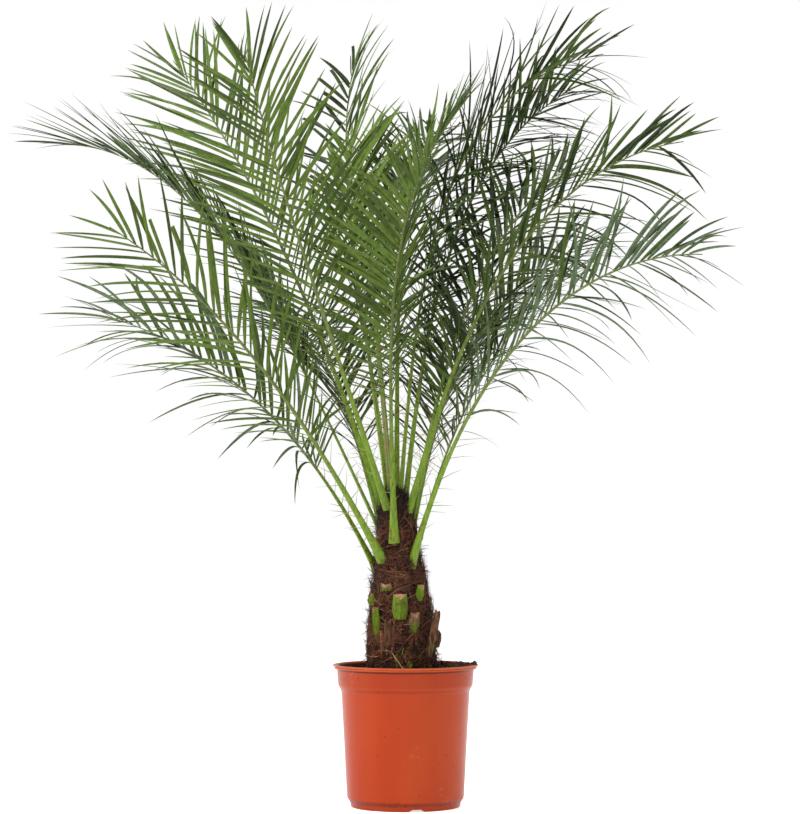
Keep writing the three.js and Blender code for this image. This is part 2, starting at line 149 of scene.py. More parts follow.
class Field:
    """One socket of a node tree. Arithmetic on it adds the nodes that work the result out."""

    def __init__(self, tree, socket=None):
        self.tree = tree
        self.socket = socket

    def fill(self, node, values):
        for name, value in values.items():
            if isinstance(value, Field):
                self.tree.links.new(value.socket, node.inputs[name])
            else:
                node.inputs[name].default_value = value

    def node(self, kind, settings=None, values=None, output=0):
        """Any node: its settings are laid first, then the values or links of its sockets."""
        made = self.tree.nodes.new(kind)
        for name, value in (settings or {}).items():
            setattr(made, name, value)
        self.fill(made, values or {})
        return Field(self.tree, made.outputs[output])

    def output(self, name):
        return Field(self.tree, self.socket.node.outputs[name])

    def shape(self, kind, settings=None, **sockets):
        """A node of a geometry tree, with the values or links of its sockets by name."""
        values = {name.replace("_", " "): value for name, value in sockets.items()}
        return self.node("GeometryNode" + kind, settings, values)

    def attribute(self, name, kind="FLOAT"):
        """The values that the points of a geometry hold under a name."""
        return self.shape("InputNamedAttribute", {"data_type": kind}, Name=name)

    def worked(self, operation, *terms):
        vector = self.socket.type == "VECTOR"
        kind = "ShaderNodeVectorMath" if vector else "ShaderNodeMath"
        return self.node(kind, {"operation": operation}, dict(enumerate(terms)))

    def __add__(self, other):
        return self.worked("ADD", self, other)

    def __sub__(self, other):
        return self.worked("SUBTRACT", self, other)

    def __rsub__(self, other):
        return self.worked("SUBTRACT", other, self)

    def __mul__(self, other):
        if self.socket.type == "VECTOR":
            return self.node("ShaderNodeVectorMath", {"operation": "SCALE"}, {0: self, "Scale": other})
        return self.worked("MULTIPLY", self, other)

    def __truediv__(self, other):
        return self.worked("DIVIDE", self, other)

    def __pow__(self, other):
        return self.worked("POWER", self, other)

    def __abs__(self):
        return self.worked("ABSOLUTE", self)

    __radd__ = __add__
    __rmul__ = __mul__

    def at_most(self, limit):
        return self.worked("MINIMUM", self, limit)

    def at_least(self, limit):
        return self.worked("MAXIMUM", self, limit)

    def parts(self):
        first = self.node("ShaderNodeSeparateXYZ", None, {0: self})
        return first, first.output(1), first.output(2)

    def stretched(self, x, y, z):
        return self.node("ShaderNodeVectorMath", {"operation": "MULTIPLY"}, {0: self, 1: (x, y, z)})

    def from_to(self, low, high):
        """A mask that goes softly from 0 at the low value to 1 at the high one."""
        return self.node("ShaderNodeMapRange", {"interpolation_type": "SMOOTHSTEP"},
                         {0: self, 1: low, 2: high})

    def band(self, start, full, fall, end):
        """A mask that rises from 0 at the start to 1, stays there, and falls back to 0 at the end."""
        return self.from_to(start, full) * (1 - self.from_to(fall, end))

    def near(self, value, inner, outer):
        """A mask that is 1 within the inner distance of a value and 0 beyond the outer one."""
        return 1 - abs(self - value).from_to(inner, outer)

    def blend(self, low, high):
        """A colour between two, by this mask."""
        return self.node("ShaderNodeMix", {"data_type": "RGBA"}, {0: self, 6: low, 7: high}, 2)

    def shaded(self, dark, pale, low=0.3, high=0.7):
        """A colour that goes from dark at the low value to pale at the high one."""
        return self.from_to(low, high).blend(dark, pale)

    def cloud(self, scale, detail=3.0, rough=0.55):
        return self.node("ShaderNodeTexNoise", None,
                         {"Vector": self, "Scale": scale, "Detail": detail, "Roughness": rough})

    def cells(self, scale):
        """Distance to the nearest of many scattered points."""
        return self.node("ShaderNodeTexVoronoi", None, {"Vector": self, "Scale": scale})

    def bump(self, depth, strength=1.0):
        """A normal that follows this height, in metres of depth."""
        return self.node("ShaderNodeBump", None,
                         {"Height": self, "Distance": depth, "Strength": strength})


def tint(red, green, blue):
    """A linear colour from one read off a screen."""
    steps = [value / 255 for value in (red, green, blue)]
    return tuple(s / 12.92 if s <= 0.04045 else ((s + 0.055) / 1.055) ** 2.4 for s in steps) + (1.0,)


class Finish:
    """A material: its object coordinates to paint with, and its one shader."""

    def __init__(self, name, **plain):
        self.material = bpy.data.materials.new(name)
        self.material.use_nodes = True
        self.shader = self.material.node_tree.nodes["Principled BSDF"]
        self.start = Field(self.material.node_tree)
        self.at = self.start.node("ShaderNodeTexCoord", output="Object")
        self.lay(**plain)

    def lay(self, **sockets):
        for name, value in sockets.items():
            label = name.replace("_", " ").title().replace("Ior", "IOR")
            self.start.fill(self.shader, {label: value})

    def marked(self, name):
        """The value that the points of a piece hold under a name."""
        return self.start.node("ShaderNodeAttribute", {"attribute_name": name}, output="Fac")


floor_top = FLOOR_RAISE + FLOOR
lip_foot = POT_HEIGHT - LIP_HEIGHT
bead_top = lip_foot + LIP_BEAD_HEIGHT
bead_radius = LIP_RADIUS - LIP_STEP
pot_foot = [(0, 0), (PAD_RADIUS, 0), (PAD_RADIUS + PAD_SLOPE, FLOOR_RAISE),
            (FOOT_RADIUS - FOOT_WIDTH - FOOT_DRAFT, FLOOR_RAISE), (FOOT_RADIUS - FOOT_WIDTH, 0),
            (FOOT_RADIUS, 0), (FOOT_TOP_RADIUS, FOOT_HEIGHT)]
pot_wall = [(BODY_FOOT_RADIUS, BODY_FOOT_HEIGHT), (BODY_TOP_RADIUS, BODY_TOP_HEIGHT),
            (COLLAR_FOOT_RADIUS, COLLAR_FOOT_HEIGHT), (COLLAR_TOP_RADIUS, lip_foot)]
pot_lip = [(bead_radius, lip_foot), (bead_radius, bead_top),
           (bead_radius - LIP_GROOVE, bead_top + LIP_GROOVE / 2), (LIP_RADIUS, bead_top + LIP_GROOVE),
           (LIP_RADIUS, POT_HEIGHT), (COLLAR_TOP_RADIUS, POT_HEIGHT)]
pot_inside = [(radius - WALL, height) for radius, height in reversed(pot_wall)]
pot_floor = [(FOOT_RADIUS - WALL, floor_top), (PAD_RADIUS + PAD_SLOPE, floor_top), (PAD_RADIUS, FLOOR),
             (0, FLOOR)]
pot_profile = softened(pot_foot + pot_wall + pot_lip + pot_inside + pot_floor, POT_EDGE_ROUND)
pot_points, pot_faces = turned(pot_profile, POT_SIDES)


def notched(point):
    """A point of the ring foot, raised where an arched notch passes over it."""
    x, y, z = point
    radius = math.hypot(x, y)
    if radius < FOOT_RADIUS - FOOT_WIDTH - 2 * FOOT_DRAFT or z > FOOT_HEIGHT:
        return point
    pitch = FULL_TURN / NOTCH_COUNT
    off = (math.atan2(y, x) - NOTCH_ANGLE + pitch / 2) % pitch - pitch / 2
    share = min(1, abs(off * radius) / (NOTCH_WIDTH / 2))
    return x, y, max(z, NOTCH_HEIGHT * math.cos(share * math.pi / 2) ** NOTCH_FLARE)


pot = new_piece("pot_shell", [notched(point) for point in pot_points], pot_faces)
drain_points, drain_faces = [], []
for drain in range(DRAIN_COUNT):
    plug_points, plug_faces = turned(
        [(0, 0), (DRAIN_RADIUS, 0), (DRAIN_RADIUS, 2 * floor_top), (0, 2 * floor_top)], DRAIN_SIDES)
    angle = FULL_TURN * drain / DRAIN_COUNT
    centre = Vector((DRAIN_CIRCLE * math.cos(angle), DRAIN_CIRCLE * math.sin(angle), 0))
    drain_faces += [[len(drain_points) + corner for corner in face] for face in plug_faces]
    drain_points += [Vector(point) + centre for point in plug_points]
drains = new_piece("drain_plugs", drain_points, drain_faces)
bore = pot.modifiers.new("drains", "BOOLEAN")
bore.object = drains
bore.operation = "DIFFERENCE"
bore.solver = "EXACT"
settle(pot, POT_CREASE)
bpy.data.objects.remove(drains)

# The shade colour paints shade and the lip colour a painted light; the dirt colour serves both real dirt and
# painted shade.
POT_ORANGE = tint(148, 44, 2)
POT_FADED = tint(153, 54, 10)
POT_LIP_LIGHT = tint(168, 74, 38)
POT_SCUFF = tint(206, 116, 82)
POT_SHADE = tint(82, 17, 4)
POT_DIRT_AND_SHADE = tint(50, 30, 22)
COLLAR_FLARE = (COLLAR_TOP_RADIUS - COLLAR_FOOT_RADIUS) / (lip_foot - COLLAR_FOOT_HEIGHT)
plastic = Finish("pot_plastic", specular_ior_level=0.15)
x, y, z = plastic.at.parts()
fading = plastic.at.stretched(1, 1, 0.35).cloud(9, 4).from_to(0.35, 0.7)
fine = plastic.at.cloud(160, 4)
scratches = plastic.at.stretched(1, 1, 1.6).cloud(26, 5).near(0.5, 0.002, 0.008)
scratches = scratches * plastic.at.cloud(17, 2).from_to(0.56, 0.7) * 0.35
speck = plastic.at.cells(90.0)
speck_pick = speck.node("ShaderNodeSeparateColor", None, {0: speck.output("Color")})
specks = (1 - speck.from_to(0.08, 0.16)) * speck_pick.from_to(0.91, 0.915) * 0.85
grime = z.near(FOOT_HEIGHT + 2 * MM, 0.4 * MM, 3.0 * MM) * fine.from_to(0.52, 0.64)
across = (x * x + y * y) ** 0.5 - (z - COLLAR_FOOT_HEIGHT) * COLLAR_FLARE
inside = 1 - across.from_to(COLLAR_FOOT_RADIUS - 0.8 * WALL, COLLAR_FOOT_RADIUS - 0.2 * WALL)
inside = inside * z.from_to(COLLAR_FOOT_HEIGHT, COLLAR_FOOT_HEIGHT + 5 * MM)
# Painted shade: a line under the lip, the slopes over the foot and under the collar, the collar, the foot
# ring.
lip_shadow = z.near(lip_foot - 0.8 * MM, 0.6 * MM, 2.2 * MM) * (1 - inside)
foot_step_shade = z.band(FOOT_HEIGHT - 2 * MM, FOOT_HEIGHT + 2 * MM,
                   BODY_FOOT_HEIGHT - 2 * MM, BODY_FOOT_HEIGHT + 1 * MM)
collar_step_shade = z.band(BODY_TOP_HEIGHT - 1 * MM, BODY_TOP_HEIGHT + 1.5 * MM,
                     COLLAR_FOOT_HEIGHT - 4 * MM, COLLAR_FOOT_HEIGHT)
collar_shade = z.band(COLLAR_FOOT_HEIGHT - 3 * MM, COLLAR_FOOT_HEIGHT + 6 * MM, lip_foot, lip_foot + 1 * MM)
foot_ring_shade = 1 - z.from_to(FOOT_HEIGHT - 1 * MM, FOOT_HEIGHT)
shade = (lip_shadow + foot_step_shade * 0.6 + collar_step_shade * 0.35 + collar_shade * 0.16 + foot_ring_shade * 0.14).at_most(1)
# Real specks and grime, and the inner wall darkened: partly a real stain, partly painted shade inside the
# pot.
dirt_and_inner_shade = (specks + grime * 0.8 + inside * (0.6 + fine * 0.7)).at_most(1)
# Painted light: the lip is paler, as if lit from above.
lit_rim = z.from_to(lip_foot + 0.5 * MM, lip_foot + 2 * MM)
plastic_lit_and_shaded = shade.blend(lit_rim.blend(fading.blend(POT_ORANGE, POT_FADED), POT_LIP_LIGHT), POT_SHADE)
plastic.lay(base_color=dirt_and_inner_shade.blend(scratches.blend(plastic_lit_and_shaded, POT_SCUFF), POT_DIRT_AND_SHADE),
            roughness=0.26 + fine * 0.1 + scratches * 0.2 + dirt_and_inner_shade * 0.4,
            normal=(fine * 0.4 + dirt_and_inner_shade).bump(0.25 * MM, 0.35))
pot.data.materials.append(plastic.material)
seat_on_root(pot, "pot_plastic", "pot")

# Soil: dark peaty compost that fills the pot to a little under the lip. It is loose and lumpy, heaped
# against the trunk and at the right-hand lip, with crumbs, bark bits and dry fibres lying on it.
SOIL_EDGE_HEIGHT = 214 * MM
SOIL_TOP = 222 * MM
SOIL_SEAT_RADIUS = 70 * MM
SOIL_SIDES = 150
SOIL_RINGS = 34
SOIL_CREASE = 60
SOIL_CLEAR = 0.6 * MM
SOIL_LUMP = 34
SOIL_LUMP_HEIGHT = 7 * MM
SOIL_ROUGHNESS = (0.8, 2.2, 5)
# Low mounds on the soil: where the middle of each lies, how far it spreads and how high it rises.
SOIL_HEAPS = [(0.066, 0.010, 0.014, 0.012), (0.098, 0.002, 0.015, 0.015),
              (0.080, -0.050, 0.022, 0.006), (-0.030, -0.078, 0.022, 0.004),
              (-0.055, 0.070, 0.026, 0.002), (0.050, 0.078, 0.024, 0.003)]


def soil_height(x, y):
    """Height of the soil's top over a point of the pot's plan."""
    radius = math.hypot(x, y)
    edge = COLLAR_FOOT_RADIUS - WALL
    share = min(1, max(0, (edge - radius) / (edge - SOIL_SEAT_RADIUS)))
    height = SOIL_EDGE_HEIGHT + (SOIL_TOP - SOIL_EDGE_HEIGHT) * share
    for heap_x, heap_y, spread, rise in SOIL_HEAPS:
        away = ((x - heap_x) ** 2 + (y - heap_y) ** 2) / (2 * spread * spread)
        height += rise * math.exp(-away)
    return height + SOIL_LUMP_HEIGHT * noise.fractal(Vector((x, y, 0.3)) * SOIL_LUMP, *SOIL_ROUGHNESS)


soil_wall = COLLAR_FOOT_RADIUS - WALL - SOIL_CLEAR
soil_profile = [(0, FLOOR + SOIL_CLEAR), (PAD_RADIUS - SOIL_CLEAR, FLOOR + SOIL_CLEAR),
                (PAD_RADIUS + PAD_SLOPE - SOIL_CLEAR, floor_top + SOIL_CLEAR),
                (FOOT_RADIUS - WALL - 2 * SOIL_CLEAR, floor_top + SOIL_CLEAR),
                (BODY_FOOT_RADIUS - WALL - SOIL_CLEAR, BODY_FOOT_HEIGHT + SOIL_CLEAR),
                (BODY_TOP_RADIUS - WALL - SOIL_CLEAR, BODY_TOP_HEIGHT),
                (soil_wall, COLLAR_FOOT_HEIGHT + SOIL_CLEAR)]
soil_bed_start = (len(soil_profile) - 1) * SOIL_SIDES
soil_profile += [(soil_wall * (1 - ring / SOIL_RINGS), SOIL_TOP) for ring in range(SOIL_RINGS + 1)]
soil_points, soil_faces = turned(soil_profile, SOIL_SIDES)
soil_points = [(x, y, soil_height(x, y)) if index >= soil_bed_start and z == SOIL_TOP else (x, y, z)
               for index, (x, y, z) in enumerate(soil_points)]
soil = new_piece("soil_bed", soil_points, soil_faces)
smooth(soil.data, SOIL_CREASE)

PEAT_DARK = tint(46, 31, 23)
PEAT_BROWN = tint(104, 76, 56)
peat = Finish("peat", specular_ior_level=0.2)
clods = peat.at.cloud(140, 6, 0.65)
damp = peat.at.cloud(30, 2)
peat.lay(base_color=(clods * 0.75 + damp * 0.25).shaded(PEAT_DARK, PEAT_BROWN, 0.38, 0.68),
         roughness=0.82 + clods * 0.16,
         normal=clods.bump(2.5 * MM, 0.9))
soil.data.materials.append(peat.material)
seat_on_root(soil, "potting_soil", "soil")


def new_tree(name, **inputs):
    """An empty geometry tree with named inputs, and a field for each of them."""
    tree = bpy.data.node_groups.new(name, "GeometryNodeTree")
    tree.interface.new_socket("Geometry", in_out="OUTPUT", socket_type="NodeSocketGeometry")
    tree.interface.new_socket("Geometry", in_out="INPUT", socket_type="NodeSocketGeometry")
    for label, kind in inputs.items():
        tree.interface.new_socket(label, in_out="INPUT", socket_type=f"NodeSocket{kind}")
    given = tree.nodes.new("NodeGroupInput")
    return tree, {socket.name: Field(tree, socket) for socket in given.outputs if socket.name}


def close_tree(geometry, finishes):
    """Gives each share of the geometry the finish that its tone names, and ends the tree."""
    tone = geometry.attribute("tone", "INT")
    for number, finish in enumerate(finishes):
        chosen = geometry.node("FunctionNodeCompare", {"data_type": "INT", "operation": "EQUAL"},
                               {2: tone, 3: number})
        geometry = geometry.shape("SetMaterial", Geometry=geometry, Selection=chosen,
                                  Material=finish.material)
    end = geometry.tree.nodes.new("NodeGroupOutput")
    geometry.fill(end, {0: geometry})


def mark(piece, name, values, kind="FLOAT"):
    """Gives every point of a piece a value to hold under a name."""
    number = np.int32 if kind == "INT" else np.float32
    field = "vector" if kind == "FLOAT_VECTOR" else "value"
    held = piece.data.attributes.new(name, kind, "POINT")
    held.data.foreach_set(field, np.array(values, dtype=number).ravel())


def unmark(piece, *names):
    for name in names:
        piece.data.attributes.remove(piece.data.attributes[name])


def grow(piece, tree, crease, **sizes):
    """Runs a tree on a piece with the given sizes, and keeps the result as its plain mesh."""
    growth = piece.modifiers.new("growth", "NODES")
    growth.node_group = tree
    for socket in tree.interface.items_tree:
        if socket.in_out == "INPUT" and socket.name in sizes:
            growth[socket.identifier] = sizes[socket.name]
    settle(piece, crease)


CRUMBS = dict(Density=52000.0, Smallest=0.8 * MM, Largest=5.5 * MM, Seed=5)
CRUMB_CREASE = 40
CRUMB_FINENESS = 2.5
CRUMB_SHAPES = {0: (0.7, 0.6, 0.4), 1: (1.5, 1.1, 0.9), "Seed": 3}
CRUMB_TURNS = {0: (0, 0, 0), 1: (6.28, 6.28, 6.28), "Seed": 4}
CRUMB_KNOCKS = 420
CRUMB_KNOCK_DEPTH = 2.4 * MM
crumb_tree, given = new_tree("crumbs", Density="Float", Smallest="Float", Largest="Float", Seed="Int")
ground = given["Geometry"]
spots = ground.shape("DistributePointsOnFaces", {"distribute_method": "RANDOM"}, Mesh=ground,
                     Density=given["Density"] * ground.attribute("loose"), Seed=given["Seed"])
crumb = ground.shape("MeshIcoSphere", Radius=1.0, Subdivisions=1)
girth = ground.node("FunctionNodeRandomValue", {"data_type": "FLOAT"},
                    {2: 0.0, 3: 1.0, "Seed": given["Seed"]}, 1) ** CRUMB_FINENESS
girth = given["Smallest"] + (given["Largest"] - given["Smallest"]) * girth
squat, turn = [ground.node("FunctionNodeRandomValue", {"data_type": "FLOAT_VECTOR"}, limits)
               for limits in (CRUMB_SHAPES, CRUMB_TURNS)]
crumbs = ground.shape("InstanceOnPoints", Points=spots, Instance=crumb, Rotation=turn,
                      Scale=squat * girth)
crumbs = ground.shape("RealizeInstances", Geometry=crumbs)
knock = ground.shape("InputPosition").cloud(CRUMB_KNOCKS, 1).output("Color")
knock = knock.node("ShaderNodeVectorMath", {"operation": "SUBTRACT"}, {0: knock, 1: (0.5, 0.5, 0.5)})
crumbs = ground.shape("SetPosition", Geometry=crumbs, Offset=knock * CRUMB_KNOCK_DEPTH)
close_tree(crumbs, [peat])

SPILL_TURNS = (-0.26, 0.20)
SPILL_STEPS = 8
SPILL_LOOSENESS = 1.6
CRUMB_RADII = (0.05, soil_wall - 5 * MM)
spill_edges = ((soil_wall - 4 * MM, POT_HEIGHT - 5 * MM), (LIP_RADIUS - 4 * MM, POT_HEIGHT + 0.5 * MM))
spill_points = []
for step in range(SPILL_STEPS + 1):
    turn = SPILL_TURNS[0] + (SPILL_TURNS[1] - SPILL_TURNS[0]) * step / SPILL_STEPS
    for radius, height in spill_edges:
        spill_points.append((radius * math.cos(turn), radius * math.sin(turn), height))
spill_faces = [[2 * step, 2 * step + 1, 2 * step + 3, 2 * step + 2] for step in range(SPILL_STEPS)]
first = len(soil_points)
soil_crumbs = new_piece("soil_crumbs", soil_points + spill_points,
                        soil_faces + [[first + corner for corner in face] for face in spill_faces])
looseness = [float(index >= soil_bed_start and CRUMB_RADII[0] < math.hypot(x, y) < CRUMB_RADII[1])
             for index, (x, y, z) in enumerate(soil_points)]
mark(soil_crumbs, "loose", looseness + [SPILL_LOOSENESS] * len(spill_points))
grow(soil_crumbs, crumb_tree, CRUMB_CREASE, **CRUMBS)
seat_on_root(soil_crumbs, "potting_soil")


class Blade(NamedTuple):
    """A tapering strip that grows out of a seat: a straw, fibre, sheath, thorn or leaflet."""
    seat: Vector
    reach: Vector  # from its seat to its tip, were it straight
    bend: Vector  # how far its tip is bent away from there
    face: Vector  # the way its upper side looks
    half: float  # half its width
    thick: float
    fold: float = 0.0  # how far its edges stand up over its middle
    keep: float = 1.0  # share of its length that isn't torn off
    hook: float = 2.0  # how late along its length it bends
    tone: int = 0  # number of its finish


BLADE_VECTORS = ("reach", "bend", "face")
BLADE_NUMBERS = ("half", "thick", "fold", "keep", "hook")
BLADE_CREASE = 30
FOLD_FLATTENING = 0.6
WELD = 0.01 * MM


def blade_tree(name, finishes):
    """Tree that grows a tapering, folded and bent blade on every seat, in the finish of its tone."""
    tree, given = new_tree(name, Sides="Int", Segments="Int", Root="Float", Rise="Float", Point="Float")
    seats = given["Geometry"]
    strip = seats.shape("MeshCylinder", {"fill_type": "TRIANGLE_FAN"}, Vertices=given["Sides"],
                        Side_Segments=given["Segments"], Radius=1.0, Depth=1.0)
    here = seats.shape("InputPosition")
    strip = seats.shape("StoreNamedAttribute", {"data_type": "FLOAT_VECTOR", "domain": "POINT"},
                        Geometry=strip, Name="blank", Value=here)
    blades = seats.shape("InstanceOnPoints", Points=seats, Instance=strip)
    blades = seats.shape("RealizeInstances", Geometry=blades)
    reach, bend, face = [seats.attribute(label, "FLOAT_VECTOR") for label in BLADE_VECTORS]
    half, thick, fold, keep, hook = [seats.attribute(label) for label in BLADE_NUMBERS]
    blank = seats.attribute("blank", "FLOAT_VECTOR")
    across, over, length = blank.parts()
    share = (length + 0.5) * keep
    swell = given["Root"] + (1 - given["Root"]) * (share / given["Rise"]).at_most(1)
    width = swell * (1 - share ** given["Point"]) * half
    tangent = reach + bend * (hook * share ** (hook - 1))
    tangent = tangent.worked("NORMALIZE", tangent)
    lean = tangent.node("ShaderNodeVectorMath", {"operation": "DOT_PRODUCT"},
                        {0: tangent, 1: face}, "Value")
    upper = face - tangent * lean
    upper = upper.worked("NORMALIZE", upper)
    beside = tangent.worked("CROSS_PRODUCT", tangent, upper)
    lift = abs(across) * width * fold * (1 - share * FOLD_FLATTENING) + over * thick * swell * (1 - share)
    line = here - blank + reach * share + bend * share ** hook
    spread = line + beside * (across * width) + upper * lift
    blades = seats.shape("SetPosition", Geometry=blades, Position=spread)
    blades = seats.shape("MergeByDistance", Geometry=blades, Distance=WELD)
    close_tree(blades, finishes)
    return tree


def blades_piece(name, blades, tree, crease=BLADE_CREASE, **sizes):
    """One piece of many blades, grown by the tree from the seat of each."""
    piece = new_piece(name, [item.seat for item in blades])
    for label in BLADE_VECTORS:
        mark(piece, label, [getattr(item, label) for item in blades], "FLOAT_VECTOR")
    for label in BLADE_NUMBERS:
        mark(piece, label, [getattr(item, label) for item in blades])
    mark(piece, "tone", [item.tone for item in blades], "INT")
    grow(piece, tree, crease, **sizes)
    unmark(piece, *BLADE_VECTORS, *BLADE_NUMBERS, "tone", "blank")
    return piece


def plain_finish(name, dark, pale, grain, roughness, depth):
    """A finish that wanders between two colours in a fine grain."""
    finish = Finish(name, specular_ior_level=0.35)
    speckle = finish.at.cloud(grain, 3)
    finish.lay(base_color=speckle.shaded(dark, pale),
               roughness=roughness + speckle * 0.15,
               normal=speckle.bump(depth, 0.5))
    return finish


FIBRE = dict(Sides=3, Segments=5, Root=0.8, Rise=0.2, Point=6.0)
FIBRE_GRAIN = 300
FIBRE_RELIEF = 0.3 * MM
FIBRE_COLOURS = [("fibre_dark", tint(24, 11, 6), tint(45, 24, 12), 0.8),
                 ("fibre_red", tint(58, 28, 13), tint(102, 57, 29), 0.78),
                 ("fibre_tan", tint(100, 64, 42), tint(142, 98, 68), 0.75),
                 ("fibre_straw", tint(160, 128, 80), tint(192, 162, 114), 0.7),
                 ("fibre_rust", tint(66, 32, 14), tint(108, 58, 24), 0.78),
                 ("fibre_moss", tint(70, 78, 16), tint(106, 118, 28), 0.7)]
DARK, RED, TAN, STRAW, RUST, MOSS = range(len(FIBRE_COLOURS))
fibre_tree = blade_tree("fibres", [plain_finish(name, dark, pale, FIBRE_GRAIN, roughness, FIBRE_RELIEF)
                                   for name, dark, pale, roughness in FIBRE_COLOURS])

STRAW_SEED = 11
STRAW_COUNT = 170
STRAW_RADII = (62, 102)
STRAW_LENGTHS = (10, 42)
STRAW_THICKNESS = 0.4 * MM
UPWARD = (0, 0, 1)
FORWARD = (0, -1, 0)
rng = random.Random(STRAW_SEED)
straws = []
for number in range(STRAW_COUNT):
    angle = rng.uniform(0, FULL_TURN)
    radius = rng.uniform(*STRAW_RADII) * MM
    x, y = radius * math.cos(angle), radius * math.sin(angle)
    heading = rng.uniform(0, FULL_TURN)
    length = rng.uniform(*STRAW_LENGTHS) * MM
    reach = Vector((math.cos(heading), math.sin(heading), rng.uniform(-0.1, 0.35))) * length
    bend = Vector((rng.uniform(-0.4, 0.4), rng.uniform(-0.4, 0.4), -0.3)) * length
    tone = rng.choices((DARK, RED, TAN, STRAW), (3, 4, 3, 1))[0]
    straws.append(Blade((x, y, soil_height(x, y) + 1 * MM), reach, bend, UPWARD,
                        rng.uniform(0.25, 0.6) * MM, STRAW_THICKNESS, tone=tone))
ROOT_COUNT = 46
ROOT_TANGLE = (0.072, -0.014)
ROOT_TANGLE_SPREAD = 0.007
ROOT_LENGTHS = (10, 24)
for number in range(ROOT_COUNT):
    x, y = [middle + rng.gauss(0, ROOT_TANGLE_SPREAD) for middle in ROOT_TANGLE]
    heading = rng.uniform(0, FULL_TURN)
    length = rng.uniform(*ROOT_LENGTHS) * MM
    reach = Vector((math.cos(heading), math.sin(heading), rng.uniform(0.1, 0.8))) * length
    bend = Vector((rng.uniform(-0.9, 0.9), rng.uniform(-0.9, 0.9), rng.uniform(-0.9, -0.2))) * length
    straws.append(Blade((x, y, soil_height(x, y) + 2 * MM), reach, bend, UPWARD,
                        rng.uniform(0.3, 0.6) * MM, STRAW_THICKNESS,
                        tone=rng.choices((DARK, RED, TAN), (6, 3, 1))[0]))
thread_over_lip = Blade((0.118, -0.004, POT_HEIGHT - 0.5 * MM), (0.022, -0.006, -0.056),
                        (0.004, 0, -0.004), FORWARD, 0.32 * MM, 0.3 * MM, tone=RED)
straw_on_trunk = Blade((-0.022, -0.064, 0.256), (0.024, -0.007, -0.032), (0, 0, -0.002), FORWARD,
                       0.7 * MM, 0.6 * MM, tone=STRAW)
straws += [thread_over_lip, straw_on_trunk]
soil_straws = blades_piece("soil_straws", straws, fibre_tree, **FIBRE)
seat_on_root(soil_straws, "potting_soil")

# Trunk: the stem of the palm, wrapped in the brown net of its old leaf sheaths. The sheaths lie in a
# spiral of bosses one over the other, and their torn edges fray into a mat of coarse fibre.
TRUNK_SIDES = 150
TRUNK_ROWS = 130
TRUNK_ROW_EASE = 0.9
TRUNK_CREASE = 70
TRUNK_RINGS = [(222.3, 64), (232, 61.5), (250, 59.5), (305, 57), (355, 49.5), (388, 44), (415, 39),
               (450, 34), (482, 29.5), (503, 25), (517, 19), (526, 10), (529, 0)]
TRUNK_FOOT_X = -4 * MM
TRUNK_LEAN = 0.045
TRUNK_BURIED = 12 * MM
TRUNK_SLIM = 5 * MM
BOSS_COUNT = 44
BOSS_FOOT = 0.232
BOSS_TURN = math.radians(137.5)
BOSS_RISE = 6.6 * MM
BOSS_WIDTH = 15 * MM
BOSS_TALL = 13 * MM
BOSS_DEPTH = 3.4 * MM
BOSS_SPAN = 2.5
BOSS_FULL_RADIUS = 0.03
MAT_GRAIN = 75
MAT_DEPTH = 3.2 * MM
MAT_STRETCH = 0.6
MAT_ROUGHNESS = (0.7, 2.1, 5)
MAT_FULL_RADIUS = 0.02
ring_heights = [height * MM for height, radius in TRUNK_RINGS]
ring_radii = [radius * MM for height, radius in TRUNK_RINGS]
trunk_top = ring_heights[-1]
bosses = [((number * BOSS_TURN) % FULL_TURN, BOSS_FOOT + number * BOSS_RISE) for number in range(BOSS_COUNT)]


def trunk_axis(height):
    return TRUNK_FOOT_X - TRUNK_LEAN * (height - SOIL_TOP)


def trunk_girth(height):
    """Radius of the trunk at a height, over bosses and mat."""
    return float(np.interp(height, ring_heights, ring_radii))


def trunk_radius(angle, height):
    """Distance from the trunk's axis to its matted surface."""
    girth = trunk_girth(height)
    radius = girth - min(TRUNK_SLIM, 0.5 * girth)
    for boss_angle, boss_height in bosses:
        rise = (height - boss_height) / BOSS_TALL
        if abs(rise) < BOSS_SPAN:
            off = ((angle - boss_angle + math.pi) % FULL_TURN - math.pi) * girth / BOSS_WIDTH
            radius += BOSS_DEPTH * math.exp(-off * off - rise * rise) * min(1, girth / BOSS_FULL_RADIUS)
    spot = Vector((girth * math.cos(angle), girth * math.sin(angle), MAT_STRETCH * height)) * MAT_GRAIN
    mat = MAT_DEPTH * noise.fractal(spot, *MAT_ROUGHNESS) * min(1, girth / MAT_FULL_RADIUS)
    return max(0, radius + mat)


def trunk_point(angle, height, lift=0.0):
    radius = trunk_radius(angle, height) + lift
    return Vector((trunk_axis(height) + radius * math.cos(angle), radius * math.sin(angle), height))


def tube_faces(rows, sides):
    """Faces of a closed tube whose points come row by row, with the middles of its two ends last."""
    return turned([(0, 0)] + [(1, row) for row in range(rows)] + [(0, rows)], sides)[1]


trunk_foot = SOIL_TOP - TRUNK_BURIED
trunk_points = []
for row in range(TRUNK_ROWS):
    rise = math.sin(0.5 * math.pi * row / TRUNK_ROWS) ** TRUNK_ROW_EASE
    height = trunk_foot + (trunk_top - trunk_foot) * rise
    trunk_points += [trunk_point(FULL_TURN * side / TRUNK_SIDES, height) for side in range(TRUNK_SIDES)]
trunk_points += [Vector((trunk_axis(height), 0, height)) for height in (trunk_foot, trunk_top)]
trunk = new_piece("trunk_core", trunk_points, tube_faces(TRUNK_ROWS, TRUNK_SIDES))
smooth(trunk.data, TRUNK_CREASE)

